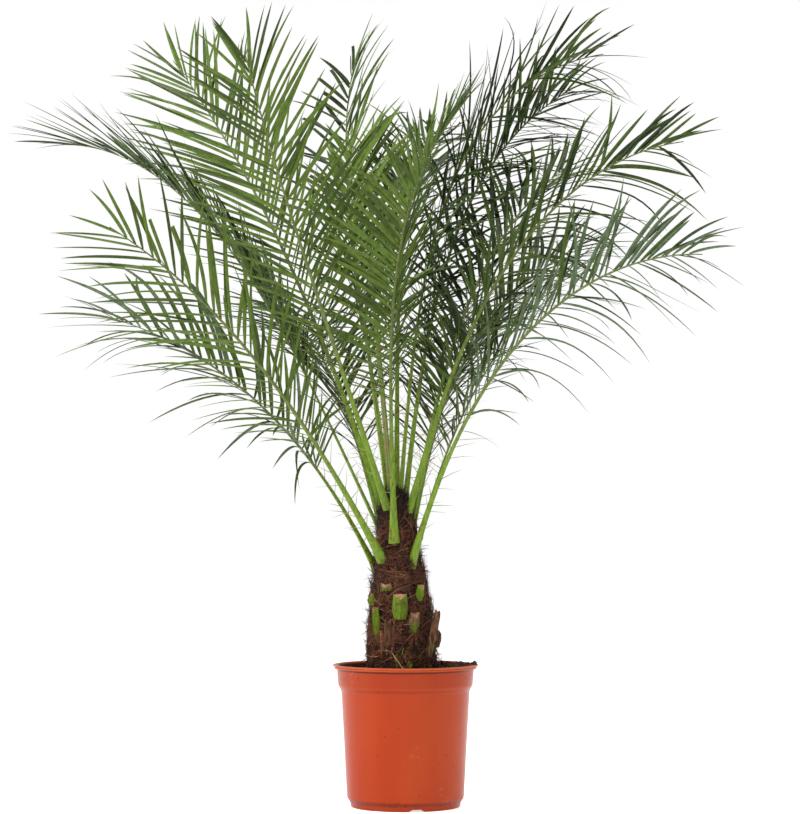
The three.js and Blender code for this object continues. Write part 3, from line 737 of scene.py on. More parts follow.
BARK_DARK = tint(22, 11, 7)
BARK_BROWN = tint(46, 23, 12)
BARK_RUST = tint(112, 62, 24)
BARK_MOSS = tint(84, 84, 26)
BARK_DAMP = 0.270
HEART_SHADE_FOOT = 0.462
HEART_SHADE_TOP = 0.492
bark = Finish("matted_sheath", specular_ior_level=0.08)
bark_height = bark.at.parts()[2]
weave = bark.at.stretched(1, 1, 2.2).cloud(190, 6, 0.7)
strands = bark.at.stretched(1, 1, 0.18).cloud(330, 3)
mat = weave * 0.6 + strands * 0.4
damp = 1 - bark_height.from_to(BARK_DAMP - 25 * MM, BARK_DAMP)
rust = bark.at.cloud(38, 3).from_to(0.52, 0.62) * damp
moss = bark.at.stretched(1, 1, 0.7).cloud(52, 2).from_to(0.6, 0.66) * damp
husk = mat.shaded(BARK_DARK, BARK_BROWN, 0.36, 0.68)
# Painted shade: towards its top, in the heart of the crown among the stalks, the trunk turns darkest brown.
husk = bark_height.shaded(husk, BARK_DARK, HEART_SHADE_FOOT, HEART_SHADE_TOP)
bark.lay(base_color=moss.blend((rust * mat).blend(husk, BARK_RUST), BARK_MOSS),
         roughness=0.78 + mat * 0.2,
         normal=mat.bump(2.2 * MM, 0.9))
trunk.data.materials.append(bark.material)
seat_on_root(trunk, "trunk_fibre", "trunk")


def compass(angle):
    """The level directions out of the trunk at an angle, and around it from there."""
    return Vector((math.cos(angle), math.sin(angle), 0)), Vector((-math.sin(angle), math.cos(angle), 0))


SHEATH = dict(Sides=6, Segments=6, Root=0.8, Rise=0.3, Point=5.0)
SHEATH_CREASE = 40
SHEATH_SEED = 17
SHEATH_COUNT = 80
SHEATH_FOOT = 0.226
SHEATH_SPAN = 0.25
SHEATH_LENGTHS = (16, 38)
SHEATH_LEANS = (-6, 13)
rng = random.Random(SHEATH_SEED)
sheaths = []
for number in range(SHEATH_COUNT):
    angle = (number * BOSS_TURN + rng.uniform(-0.25, 0.25)) % FULL_TURN
    height = SHEATH_FOOT + SHEATH_SPAN * number / SHEATH_COUNT
    outward, around = compass(angle)
    length = rng.uniform(*SHEATH_LENGTHS) * MM
    lean = math.radians(rng.uniform(*SHEATH_LEANS))
    upright = Vector((0, 0, math.cos(lean))) + outward * math.sin(lean)
    reach = (upright + around * rng.uniform(-0.35, 0.35)) * length
    bend = (outward * rng.uniform(-0.02, 0.14) + around * rng.uniform(-0.1, 0.1)) * length
    sheaths.append(Blade(trunk_point(angle, height, -2 * MM), reach, bend, outward,
                         rng.uniform(1.4, 3.6) * MM, rng.uniform(0.6, 1.2) * MM,
                         fold=rng.uniform(-0.5, -0.2), keep=rng.uniform(0.55, 0.85),
                         tone=rng.choice((DARK, RED))))
SLAT_AZIMUTHS = (233, 238, 242, 247, 251, 255, 326, 331)
SLAT_LENGTHS = (38, 52)
SLAT_HEIGHTS = (0.250, 0.264)
for azimuth in SLAT_AZIMUTHS:
    angle = math.radians(azimuth + rng.uniform(-1, 1))
    outward, around = compass(angle)
    length = rng.uniform(*SLAT_LENGTHS) * MM
    reach = Vector(UPWARD) + outward * rng.uniform(0.0, 0.08) + around * rng.uniform(-0.15, 0.15)
    sheaths.append(Blade(trunk_point(angle, rng.uniform(*SLAT_HEIGHTS), 1 * MM), reach * length,
                         outward * (0.03 * length), outward, rng.uniform(1.6, 2.8) * MM, 1.2 * MM,
                         fold=-0.4, keep=rng.uniform(0.7, 0.9), tone=rng.choices((RED, TAN), (2, 3))[0]))
PATCH_COUNT = 26
PATCH_AZIMUTH = 273
PATCH_SPREAD = 8
PATCH_LENGTHS = (8, 17)
PATCH_HEIGHTS = (0.226, 0.254)
for number in range(PATCH_COUNT):
    angle = math.radians(rng.gauss(PATCH_AZIMUTH, PATCH_SPREAD))
    outward, around = compass(angle)
    length = rng.uniform(*PATCH_LENGTHS) * MM
    reach = Vector(UPWARD) + outward * rng.uniform(0.0, 0.15) + around * rng.uniform(-0.6, 0.6)
    sheaths.append(Blade(trunk_point(angle, rng.uniform(*PATCH_HEIGHTS), 0.5 * MM), reach * length,
                         outward * (-0.05 * length), outward, rng.uniform(0.8, 2.6) * MM, 0.8 * MM,
                         fold=-0.3, keep=rng.uniform(0.6, 0.9),
                         tone=rng.choices((RUST, MOSS, DARK), (5, 3, 2))[0]))
trunk_sheaths = blades_piece("trunk_sheaths", sheaths, fibre_tree, SHEATH_CREASE, **SHEATH)
seat_on_root(trunk_sheaths, "trunk_fibre")

FIBRE_SEED = 23
FIBRE_COUNT = 7600
FIBRES_IN_PIECE = 3800
FIBRE_HEIGHTS = (0.224, 0.524)
HIGHEST_FIBRE = 0.525
FIBRE_LIFTS = (-0.5, 1.5)
FIBRE_HALVES = (0.3, 0.8)
FIBRE_THICKNESSES = (0.25, 0.5)
FIBRE_CURL = 0.8
FIBRE_SLOPE = (0.2, 0.8)
HANG_SHARE = 0.08
HANG_LENGTHS = (14, 40)
LOOSE_SHARE = 0.08
LOOSE_LENGTHS = (6, 19)
LAID_LENGTHS = (12, 44)
TUFT_COUNT = 260
TUFT_HEIGHTS = (0.226, 0.524)
TUFT_TURN_SPREAD = 0.07
TUFT_HEIGHT_SPREAD = 3.5 * MM
TUFT_SLOPE_SPREAD = 0.25
TUFTED_SHARE = 0.6
SLIMMEST_TRUNK = 0.012
rng = random.Random(FIBRE_SEED)
tufts = [(rng.uniform(0, FULL_TURN), rng.uniform(*TUFT_HEIGHTS), rng.gauss(*FIBRE_SLOPE), rng.choice((-1, 1)),
          rng.choices((DARK, RED, TAN), (5, 6, 0.4))[0]) for number in range(TUFT_COUNT)]
fibres = []
for number in range(FIBRE_COUNT):
    angle, height, slope, hand, tone = rng.choice(tufts)
    if rng.random() < TUFTED_SHARE:
        angle += rng.gauss(0, TUFT_TURN_SPREAD)
        height += rng.gauss(0, TUFT_HEIGHT_SPREAD)
        height = min(HIGHEST_FIBRE, max(FIBRE_HEIGHTS[0], height))
        slope += rng.gauss(0, TUFT_SLOPE_SPREAD)
    else:
        angle = rng.uniform(0, FULL_TURN)
        height = rng.uniform(*FIBRE_HEIGHTS)
        slope = rng.gauss(*FIBRE_SLOPE)
        hand = rng.choice((-1, 1))
        tone = rng.choices((DARK, RED, TAN, STRAW), (5, 7, 1.4, 0.1))[0]
    outward, around = compass(angle)
    around = around * hand
    along = around * math.cos(slope) + Vector((0, 0, math.sin(slope)))
    girth = max(SLIMMEST_TRUNK, trunk_radius(angle, height))
    curl = along.cross(outward) * rng.uniform(-FIBRE_CURL, FIBRE_CURL)
    fate = rng.random()
    if fate < HANG_SHARE:
        length = rng.uniform(*HANG_LENGTHS) * MM
        reach = Vector((0, 0, -1)) + outward * rng.uniform(0.1, 0.45) + around * rng.uniform(-0.3, 0.3)
        reach = reach * length
        bend = (outward * rng.uniform(-0.35, -0.1) + around * rng.uniform(-0.3, 0.3)) * length
    elif fate < HANG_SHARE + LOOSE_SHARE:
        length = rng.uniform(*LOOSE_LENGTHS) * MM
        reach = (along * 0.8 + outward * rng.uniform(0.2, 0.8)) * length
        bend = (curl + Vector((0, 0, rng.uniform(-0.6, 0.2)))) * length
    else:
        length = min(rng.uniform(*LAID_LENGTHS) * MM, 1.1 * girth)
        level = math.hypot(along.x, along.y) * length
        reach = along * length + outward * rng.uniform(0.02, 0.12) * length
        bend = outward * (-0.5 * level * level / girth) + curl * length
    # In the heart of the crown each fibre takes the darkest finish, as painted shade among the stalks.
    fibres.append(Blade(trunk_point(angle, height, rng.uniform(*FIBRE_LIFTS) * MM), reach, bend, outward,
                        rng.uniform(*FIBRE_HALVES) * MM, rng.uniform(*FIBRE_THICKNESSES) * MM,
                        tone=tone if height < HEART_SHADE_FOOT else DARK))
for first in range(0, FIBRE_COUNT, FIBRES_IN_PIECE):
    trunk_fibres = blades_piece(f"trunk_fibres_{first // FIBRES_IN_PIECE + 1}",
                                fibres[first:first + FIBRES_IN_PIECE], fibre_tree, **FIBRE)
    seat_on_root(trunk_fibres, "trunk_fibre")

# Cut leaf bases: the feet of old leaves that were pruned off close to the trunk. The fresh ones are
# green with a tan slanting cut, and the older ones have dried to brown wood and fibre.
stub_green = Finish("leaf_base_green", specular_ior_level=0.14)
streak = stub_green.at.stretched(1, 1, 0.16).cloud(420, 4)
living = streak.shaded(tint(60, 82, 6), tint(92, 114, 14))
stub_green.lay(base_color=stub_green.at.cloud(85, 4).shaded(living, tint(70, 60, 18), 0.52, 0.7),
               roughness=0.5 + streak * 0.25,
               normal=streak.bump(0.8 * MM, 0.6))
stub_withered = Finish("leaf_base_withered", specular_ior_level=0.2)
streak = stub_withered.at.stretched(1, 1, 0.16).cloud(420, 4)
living = streak.shaded(tint(52, 62, 8), tint(84, 94, 18))
straw = streak.shaded(tint(58, 36, 22), tint(122, 90, 60))
withering = stub_withered.marked("along") + streak * 0.3
stub_withered.lay(base_color=withering.shaded(living, straw, 0.55, 0.75),
                  roughness=0.62 + streak * 0.25,
                  normal=streak.bump(1.0 * MM, 0.8))
stub_dry = Finish("leaf_base_dry", specular_ior_level=0.15)
streak = stub_dry.at.stretched(1, 1, 0.14).cloud(400, 5)
wood = streak.shaded(tint(36, 21, 13), tint(108, 76, 52), 0.34, 0.7)
moss = stub_dry.at.cloud(60, 3).from_to(0.5, 0.64) * (1 - stub_dry.marked("along").from_to(0.1, 0.4))
stub_dry.lay(base_color=moss.blend(wood, tint(72, 84, 26)),
             roughness=0.78 + streak * 0.2,
             normal=streak.bump(1.4 * MM, 0.9))
stub_cut = Finish("cut_face", specular_ior_level=0.15)
pith = stub_cut.at.cells(620.0)
stained = stub_cut.at.cloud(150, 3).shaded(tint(160, 124, 92), tint(118, 84, 58), 0.4, 0.7)
stub_cut.lay(base_color=(1 - pith.from_to(0.12, 0.4)).blend(stained, tint(84, 56, 38)),
             roughness=0.8 + pith * 0.15,
             normal=pith.bump(0.5 * MM, 0.6))


class Stub(NamedTuple):
    """A cut leaf base, in degrees and millimetres."""
    azimuth: float  # where it stands around the trunk
    height: float  # of its foot
    width: float
    length: float
    lean: float  # out from upright
    foot_share: float  # how broad its foot is beside its broadest part
    finish: Finish


STUBS = [Stub(269, 310, 27, 42, 8, 0.75, stub_green), Stub(224, 272, 15, 58, 6, 0.2, stub_green),
         Stub(242, 356, 23, 13, 12, 0.9, stub_withered), Stub(312, 340, 17, 27, 12, 0.7, stub_green),
         Stub(203, 332, 11, 20, 4, 0.7, stub_green), Stub(293, 288, 20, 34, 9, 0.6, stub_withered),
         Stub(318, 248, 12, 80, 17, 0.95, stub_dry), Stub(350, 262, 15, 32, 8, 0.8, stub_dry),
         Stub(246, 268, 15, 42, 4, 0.8, stub_dry), Stub(38, 300, 22, 44, 8, 0.7, stub_green),
         Stub(62, 256, 18, 40, 8, 0.8, stub_dry), Stub(96, 312, 24, 40, 8, 0.7, stub_green),
         Stub(122, 262, 18, 52, 7, 0.8, stub_dry), Stub(140, 306, 20, 42, 6, 0.7, stub_withered),
         Stub(152, 252, 17, 40, 6, 0.8, stub_dry)]
STUB_SEED = 31
STUB_THICKNESS = 13 * MM
STUB_SINK = 5 * MM
STUB_CUT = 0.9
STUB_SIDES = 20
STUB_CREASE = 42
STUB_BROADEST = 0.42
STUB_TOP_SHARE = 0.8
STUB_KEEL = 0.8
STUB_KEEL_SHARPNESS = 0.85
STUB_BACK = 0.42
STUB_HOLLOW = 0.06
DRY_FRAYING = 0.05
FRESH_FRAYING = 0.012
STUB_ROWS = [0, 0.06, 0.14, 0.25, 0.4, 0.55, 0.7, 0.85, 0.95, 1]


def stub_piece(name, stub, rng):
    """A leaf base: keeled outside, hollowed against the trunk, and cut off aslant."""
    lean = math.radians(stub.lean)
    height, width, length = stub.height * MM, stub.width * MM, stub.length * MM
    outward, sideways = compass(math.radians(stub.azimuth))
    axis = Vector((0, 0, math.cos(lean))) + outward * math.sin(lean)
    foot = outward * (trunk_girth(height) - STUB_SINK) + Vector((trunk_axis(height), 0, height))
    dry = stub.finish is stub_dry
    ragged = [rng.uniform(-1, 1) for side in range(STUB_SIDES)]
    points = []
    for share in STUB_ROWS:
        size = float(np.interp(share, (0, STUB_BROADEST, 1), (stub.foot_share, 1, STUB_TOP_SHARE)))
        for side in range(STUB_SIDES):
            turn = FULL_TURN * side / STUB_SIDES
            across = math.cos(turn)
            out = STUB_BACK * math.sin(turn)
            if math.sin(turn) > 0:
                out = (1 - abs(across)) ** STUB_KEEL_SHARPNESS * STUB_KEEL
            cut = STUB_CUT * STUB_THICKNESS * max(0, out) * share ** 3
            frayed = ragged[side] * (DRY_FRAYING if dry else FRESH_FRAYING) * length * share ** 6
            point = foot + axis * (length * share - cut + frayed)
            point += sideways * (across * size * width / 2)
            points.append(point + outward * (out * size * STUB_THICKNESS))
    middle = sum(points[-STUB_SIDES:], Vector()) / STUB_SIDES
    points += [foot, middle - axis * (STUB_HOLLOW * length)]
    piece = new_piece(name, points, tube_faces(len(STUB_ROWS), STUB_SIDES))
    mark(piece, "along", [share for share in STUB_ROWS for side in range(STUB_SIDES)] + [0, 1])
    piece.data.materials.append(stub.finish.material)
    piece.data.materials.append((stub_dry if dry else stub_cut).material)
    for polygon in piece.data.polygons:
        polygon.material_index = int(len(points) - 1 in polygon.vertices)
    smooth(piece.data, STUB_CREASE)
    return piece


rng = random.Random(STUB_SEED)
for number, stub in enumerate(STUBS, 1):
    leaf_base = stub_piece(f"leaf_base_{number:02d}_wood", stub, rng)
    seat_on_root(leaf_base, "leaf_base", f"leaf_base_{number:02d}")


# Fronds: feathered leaves that arch out of the crown. Each has a smooth green stalk, flat above and
# round below, that thins to a rib; stiff thorns stand on the stalk and narrow folded leaflets on the rib.
class Rib(NamedTuple):
    """The line of a leaf from its foot to its tip, in degrees and millimetres."""
    azimuth: float  # the way it leaves the trunk
    height: float  # of its foot
    distance: float  # of its foot from the trunk's axis
    lean: float  # out from upright, at its foot
    tip_lean: float  # out from upright, at its tip
    length: float
    turn: float  # sideways, from its foot to its tip
    bend: float  # how late along its length it leans over
    roll: float  # of its blade about the rib


class Frond(NamedTuple):
    """A frond. The hand that some leaflets are on is 1 or -1, for one side of the rib or the other."""
    rib: Rib
    fan: float  # how far its leaflets spread from the rib, beside LEAFLET_FANS
    leaflet: float  # how long they are, beside LEAFLET_LENGTHS
    limpness: float  # how much they droop
    tone: float  # how bright they are, from 0 to 3: their own green, and at the back low, as painted shade
    spacing: float = 11.2  # between them along the rib, in millimetres
    crowding: float = 1.0  # over 1 where they stand closer towards the stalk
    breadth: float = 1.0  # how broad they are, beside LEAFLET_WIDTHS
    grey_sheen: float = 0.0  # share of them in the grey finish, a painted sheen of reflected light
    thinned: tuple = (0, 0.0)  # hand, and share of them that are missing there
    shortened: tuple = (0, 1.0, 1.0)  # hand, and the least and most of their length there
    limp: tuple = (0, 1.0)  # hand, and how many times further they droop there
    torn: tuple = ()  # hand, and share of them that are torn off there
    shaded: tuple = (0, 0.0)  # hand, and how much less bright they are there


# The fronds at the back of the crown have low tones and those in front high ones, painting its shade and
# light.
FRONDS = [
    Frond(Rib(139, 480, 25, 24, 45.5, 965, -4, 1.5, -55), 0.92, 1.10, 0.16, 1.6, spacing=14.5),
    Frond(Rib(238, 490, 26, 31, 42.5, 850, 18, 1.5, 28), 1.10, 0.95, 0.14, 1.6, spacing=14.5),
    Frond(Rib(118, 501, 20, 16.5, 38.5, 890, -46, 1.5, -40), 0.95, 1.00, 0.26, 1.4, spacing=17.0,
          breadth=1.1, limp=(-1, 2.4), torn=(1, 0.8), shaded=(1, 0.9)),
    Frond(Rib(155, 450, 28, 27.5, 90, 985, -6, 2.8, 12), 0.48, 1.20, 0.12, 0.55, spacing=12.5,
          crowding=1.4, shortened=(-1, 0.6, 0.85)),
    Frond(Rib(225, 404, 34, 37, 67, 785, 0, 1.6, 55), 0.95, 0.90, 0.20, 1.7, spacing=15.0,
          crowding=1.3, torn=(1, 0.15)),
    Frond(Rib(185, 388, 35, 27, 76, 640, 0, 1.4, -40), 0.95, 0.98, 0.44, 1.2, spacing=14.0,
          crowding=1.2, breadth=1.1, grey_sheen=0.4),
    Frond(Rib(62, 508, 19, 9.5, 79.5, 985, -44, 2.1, 92), 0.80, 0.98, 0.34, 0.5, spacing=17.0,
          breadth=0.9, thinned=(-1, 0.3), limp=(-1, 1.6)),
    Frond(Rib(325, 485, 26, 19, 88, 828, 0, 1.95, -88), 0.80, 0.80, 0.28, 0.65, spacing=13.5,
          breadth=0.95, thinned=(1, 0.35), limp=(1, 1.8)),
    Frond(Rib(312, 395, 31, 23, 95, 848, 4, 1.4, -80), 0.90, 0.85, 0.36, 0.8, spacing=14.0, grey_sheen=0.75,
          thinned=(1, 0.3), shortened=(1, 0.5, 0.95), limp=(1, 1.5)),
    Frond(Rib(350, 412, 28, 15, 54, 560, 0, 1.6, 25), 0.90, 0.75, 0.42, 0.8, spacing=14.0, breadth=0.75),
    Frond(Rib(262, 435, 36, 10.5, 47, 775, 66, 1.5, 34), 1.06, 0.84, 0.16, 1.65, spacing=8.2),
    Frond(Rib(62, 475, 27, 12.5, 62.5, 925, -35, 1.7, 65), 0.80, 0.98, 0.40, 0.5, spacing=10.0,
          breadth=0.9, thinned=(-1, 0.3)),
    Frond(Rib(42, 448, 32, 13, 59, 760, -8, 1.8, 30), 0.90, 0.90, 0.42, 0.5, spacing=9.6, breadth=0.9),
    Frond(Rib(150, 515, 14, 8, 26.5, 640, -88, 1.5, 0), 0.90, 1.00, 0.20, 1.6, spacing=10.0,
          shortened=(1, 0.4, 0.65)),
    Frond(Rib(12, 475, 26, 12, 66, 580, 0, 1.5, 34), 0.90, 0.88, 0.42, 0.5, spacing=9.6, breadth=0.9),
    Frond(Rib(90, 452, 33, 13, 72, 925, -20, 1.8, 10), 0.90, 0.95, 0.40, 0.5, spacing=9.6),
    Frond(Rib(112, 400, 41, 32.5, 78.5, 740, 0, 1.5, 0), 0.90, 1.00, 0.36, 0.45, spacing=9.2),
    Frond(Rib(70, 400, 41, 28.5, 76.5, 680, 0, 1.5, 0), 0.90, 1.00, 0.36, 0.6),
]
FROND_SEED = 100
PATH_STEPS = 240
STALK_SHARE = 0.3
BLADE_END = 0.975
RIB_WIDTHS = [(0, 15), (0.03, 12.5), (0.1, 10), (0.28, 7), (0.6, 4.6), (1, 1.6)]
OUTER_FOOT_WIDTHS = [(0, 21), (0.04, 14.5), (0.1, 10.5), (0.28, 6.8), (0.6, 4.6), (1, 1.6)]
OUTER_FOOT_HEIGHT = 445
RIB_SECTION = dict(Sides=12, Depth=0.72, Channel=0.42)
RIB_STATIONS = 60
RIB_CREASE = 50


def rib_line(rib):
    """Points down a rib with the directions along it, across the blade and up out of the blade."""
    share = np.linspace(0, 1, PATH_STEPS + 1)
    tilt = np.radians(rib.lean + (rib.tip_lean - rib.lean) * share ** rib.bend)
    heading = np.radians(rib.azimuth + rib.turn * share ** 2)
    forward = np.stack([np.sin(tilt) * np.cos(heading), np.sin(tilt) * np.sin(heading), np.cos(tilt)],
                       axis=1)
    level = np.stack([-np.sin(heading), np.cos(heading), 0 * share], axis=1)
    rolled = math.radians(rib.roll)
    side = level * math.cos(rolled) + np.cross(forward, level) * math.sin(rolled)
    face = np.cross(forward, side)
    foot = math.radians(rib.azimuth)
    start = np.array([trunk_axis(rib.height * MM) + rib.distance * MM * math.cos(foot),
                      rib.distance * MM * math.sin(foot), rib.height * MM])
    steps = forward[:-1] * (rib.length * MM / PATH_STEPS)
    place = start + np.vstack([np.zeros(3), np.cumsum(steps, axis=0)])
    return {"place": place, "forward": forward, "side": side, "face": face}


def station(line, share):
    index = round(share * PATH_STEPS)
    return [Vector(line[part][index]) for part in ("place", "forward", "side", "face")]


def read_off(table, share):
    """A size at a share of the way along, from a table of shares and sizes."""
    return float(np.interp(share, *zip(*table)))


rib_tree, given = new_tree("ribs", Sides="Int", Depth="Float", Channel="Float")
line = given["Geometry"]
path = line.shape("MeshToCurve", Mesh=line)
path = line.shape("SetCurveNormal", {"mode": "FREE"}, Curve=path,
                  Normal=line.attribute("face", "FLOAT_VECTOR"))
ring = line.shape("CurvePrimitiveCircle", {"mode": "RADIUS"}, Resolution=given["Sides"], Radius=1.0)
up, wide, level = line.shape("InputPosition").parts()
flat = up * given["Depth"] - up.at_least(0) * given["Channel"]
section = line.node("ShaderNodeCombineXYZ", None, {0: flat, 1: wide})
ring = line.shape("SetPosition", Geometry=ring, Position=section)
ribs = line.shape("CurveToMesh", Curve=path, Profile_Curve=ring, Scale=line.attribute("half"),
                  Fill_Caps=True)

stalk_green = Finish("stalk_green", specular_ior_level=0.22)
along = stalk_green.marked("along")
streak = stalk_green.at.stretched(1, 1, 0.2).cloud(260, 3)
scab = stalk_green.at.stretched(1, 1, 0.6).cloud(150, 2).from_to(0.63, 0.68)
scab = scab * (1 - along.from_to(0.12, 0.45))
fresh = streak.shaded(tint(80, 104, 18), tint(104, 130, 30))
thin = streak.shaded(tint(66, 78, 30), tint(94, 104, 50))
stalk_green.lay(base_color=scab.blend(along.shaded(fresh, thin, 0.12, 0.5), tint(98, 52, 18)),
                roughness=0.36 + streak * 0.2,
                normal=streak.bump(0.3 * MM, 0.5))
close_tree(ribs, [stalk_green])


def rib_piece(name, line, widths):
    """The stalk and rib of a frond in one, as thick as its table of widths says."""
    shares = np.linspace(0, 1, RIB_STATIONS)
    index = np.round(shares * PATH_STEPS).astype(int)
    piece = new_piece(name, line["place"][index], edges=[(i, i + 1) for i in range(RIB_STATIONS - 1)])
    mark(piece, "half", np.interp(shares, *zip(*widths)) * MM / 2)
    mark(piece, "along", shares)
    mark(piece, "face", line["face"][index], "FLOAT_VECTOR")
    mark(piece, "tone", [0] * RIB_STATIONS, "INT")
    grow(piece, rib_tree, RIB_CREASE, **RIB_SECTION)
    unmark(piece, "half", "face", "tone")
    return piece


def leaf_finish(name, dark, pale):
    """A leaflet's finish: waxy, a little mottled."""
    finish = Finish(name, specular_ior_level=0.14)
    mottle = finish.at.cloud(95, 4)
    finish.lay(base_color=mottle.shaded(dark, pale),
               roughness=0.36 + mottle * 0.2,
               normal=finish.at.cloud(480, 2).bump(0.15 * MM, 0.4))
    return finish


# The grey finish paints the pale sheen that the waxy leaflets reflect.
LEAF_TONES = [leaf_finish("leaf_deep", tint(23, 34, 9), tint(36, 50, 15)),
              leaf_finish("leaf_green", tint(46, 62, 20), tint(62, 78, 29)),
              leaf_finish("leaf_fresh", tint(64, 83, 26), tint(82, 102, 36)),
              leaf_finish("leaf_bright", tint(80, 110, 22), tint(98, 130, 32)),
              leaf_finish("leaf_grey_sheen", tint(58, 72, 47), tint(78, 92, 65))]
BRIGHT_TONE, GREY_SHEEN_TONE = 3, 4
TONE_SPREAD = 0.3
LEAFLET = dict(Sides=4, Segments=10, Root=0.5, Rise=0.14, Point=4.6)
LEAFLET_LENGTHS = [(0, 115), (0.12, 170), (0.4, 208), (0.7, 195), (0.88, 158), (1, 110)]
LEAFLET_FANS = [(0, 62), (0.3, 50), (0.7, 43), (0.9, 32), (1, 12)]
LEAFLET_LIFTS = [(0, 42), (0.5, 24), (1, 10)]
LEAFLET_WIDTHS = [(0, 3.1), (0.1, 5.2), (0.4, 7.5), (0.8, 7.1), (1, 5.2)]
LEAFLET_THICKNESS = 0.4 * MM
LEAFLET_FOLD = 0.42
LEAFLET_SEAT_OUT = 0.7
LEAFLET_SEAT_UP = 0.15
LEAFLET_UNEVENNESS = (0.9, 1.06)
BREADTH_UNEVENNESS = (0.85, 1.1)
FOLD_UNEVENNESS = (0.6, 1.4)
DROOP_UNEVENNESS = (0.5, 1.6)
LEAFLET_STAGGER = {1: 0.25, -1: 0.75}
LEAFLET_STRAY = 0.22
LEAFLET_TWIST = 13
LEAFLET_SUNWARD = 20
LEAFLET_STIFFENING = 0.6
HOOKED_SHARE = 0.5
HOOKS = (2.6, 4.5)
TORN_KEEP = (0.46, 0.64)
THORN = dict(Sides=3, Segments=2, Root=1.0, Rise=0.2, Point=1.6)
THORN_SHARES = (0.07, 0.3)
THORN_SPACING = 23.0
THORN_LENGTHS = (24, 46)
THORN_FANS = (38, 82)
THORN_LIFTS = (-15, 60)
THORN_SWAY = 0.05
THORN_DROOP = 0.03
THORN_HALVES = (0.5, 0.85)
THORN_THICKNESSES = (0.35, 0.6)
THORN_SEAT_OUT = 0.75
THORN_SEAT_UP = 0.1
THORN_GRAIN = 200
THORN_RELIEF = 0.1 * MM
thorn_finish = plain_finish("thorn", tint(84, 92, 46), tint(138, 138, 84), THORN_GRAIN, 0.5, THORN_RELIEF)
leaflet_tree = blade_tree("leaflets", LEAF_TONES)
thorn_tree = blade_tree("thorns", [thorn_finish])


def fanned(forward, side, face, fan, lift, hand):
    """Direction of what leaves a rib: turned from its line by the fan, out of the blade by the lift."""
    fan, lift = math.radians(fan), math.radians(lift)
    out = side * (hand * math.cos(lift)) + face * math.sin(lift)
    return (forward * math.cos(fan) + out * math.sin(fan)).normalized()


def leaflets_of(frond, line, widths, rng):
    """The leaflets of a frond, on its two sides from the stalk to the tip."""
    limpness = frond.limpness
    fan_stray = 1 + 20 * limpness
    lift_stray = 2 + 25 * limpness
    sway_stray = 0.02 + 0.3 * limpness
    count = round((BLADE_END - STALK_SHARE) * frond.rib.length / frond.spacing)
    thin_hand, thin_share = frond.thinned
    short_hand, shortest, longest = frond.shortened
    shaded_hand, shade = frond.shaded
    limp_hand, limper = frond.limp
    blades = []
    for hand in (1, -1):
        torn_hand, torn_share = frond.torn or (hand, 0.0)
        for number in range(count):
            stray = rng.uniform(-LEAFLET_STRAY, LEAFLET_STRAY)
            t = ((number + LEAFLET_STAGGER[hand] + stray) / count) ** frond.crowding
            share = STALK_SHARE + (BLADE_END - STALK_SHARE) * t
            place, forward, side, face = station(line, share)
            fan = read_off(LEAFLET_FANS, t) * frond.fan + rng.gauss(0, fan_stray)
            lift = read_off(LEAFLET_LIFTS, t) + rng.gauss(0, lift_stray)
            direction = fanned(forward, side, face, fan, lift, hand)
            reach = read_off(LEAFLET_LENGTHS, t) * frond.leaflet * MM * rng.uniform(*LEAFLET_UNEVENNESS)
            if hand == short_hand:
                reach *= rng.uniform(shortest, longest)
            level = math.hypot(direction.x, direction.y)
            droop = limpness * (1 - LEAFLET_STIFFENING * t) * level * rng.uniform(*DROOP_UNEVENNESS)
            if hand == limp_hand:
                droop *= limper
            sway = Vector((rng.gauss(0, sway_stray), rng.gauss(0, sway_stray), -droop))
            upper = (forward - direction * direction.dot(forward)).cross(direction) * hand
            upper = upper.normalized() + Vector((0, 0, LEAFLET_SUNWARD * limpness ** 2 * level ** 4))
            upper.rotate(Quaternion(direction, math.radians(rng.gauss(0, LEAFLET_TWIST))))
            half_rib = read_off(widths, share) * MM / 2
            torn = hand == torn_hand and rng.random() < torn_share
            hooked = rng.random() < HOOKED_SHARE * limpness
            tone = frond.tone - (shade if hand == shaded_hand else 0) + rng.gauss(0, TONE_SPREAD)
            tone = round(min(BRIGHT_TONE, max(0, tone)))
            # Some leaflets take the grey finish, a painted sheen of reflected light.
            if rng.random() < frond.grey_sheen:
                tone = GREY_SHEEN_TONE
            if hand == thin_hand and rng.random() < thin_share:
                continue
            blades.append(Blade(
                place + side * (hand * LEAFLET_SEAT_OUT * half_rib) + face * (LEAFLET_SEAT_UP * half_rib),
                direction * reach, sway * reach, upper.normalized(),
                read_off(LEAFLET_WIDTHS, t) * frond.breadth * MM / 2 * rng.uniform(*BREADTH_UNEVENNESS),
                LEAFLET_THICKNESS, LEAFLET_FOLD * rng.uniform(*FOLD_UNEVENNESS),
                keep=rng.uniform(*TORN_KEEP) if torn else 1.0,
                hook=rng.uniform(*HOOKS) if hooked else 2.0, tone=tone))
    return blades


def thorns_of(line, length, widths, rng):
    """The thorns of a frond: bare slender leaflets in loose pairs along the upper stalk."""
    low, high = THORN_SHARES
    count = round((high - low) * length / THORN_SPACING)
    blades = []
    for hand in (1, -1):
        for number in range(count):
            t = (number + rng.uniform(0.1, 0.9)) / count
            share = low + (high - low) * t
            place, forward, side, face = station(line, share)
            fan, lift = rng.uniform(*THORN_FANS), rng.uniform(*THORN_LIFTS)
            direction = fanned(forward, side, face, fan, lift, hand)
            reach = rng.uniform(*THORN_LENGTHS) * MM * (0.7 + 0.9 * t)
            half_rib = read_off(widths, share) * MM / 2
            sway = Vector([rng.gauss(mean, THORN_SWAY) for mean in (0, 0, -THORN_DROOP)])
            blades.append(Blade(
                place + side * (hand * THORN_SEAT_OUT * half_rib) + face * (THORN_SEAT_UP * half_rib),
                direction * reach, sway * reach, face,
                rng.uniform(*THORN_HALVES) * MM, rng.uniform(*THORN_THICKNESSES) * MM))
    return blades


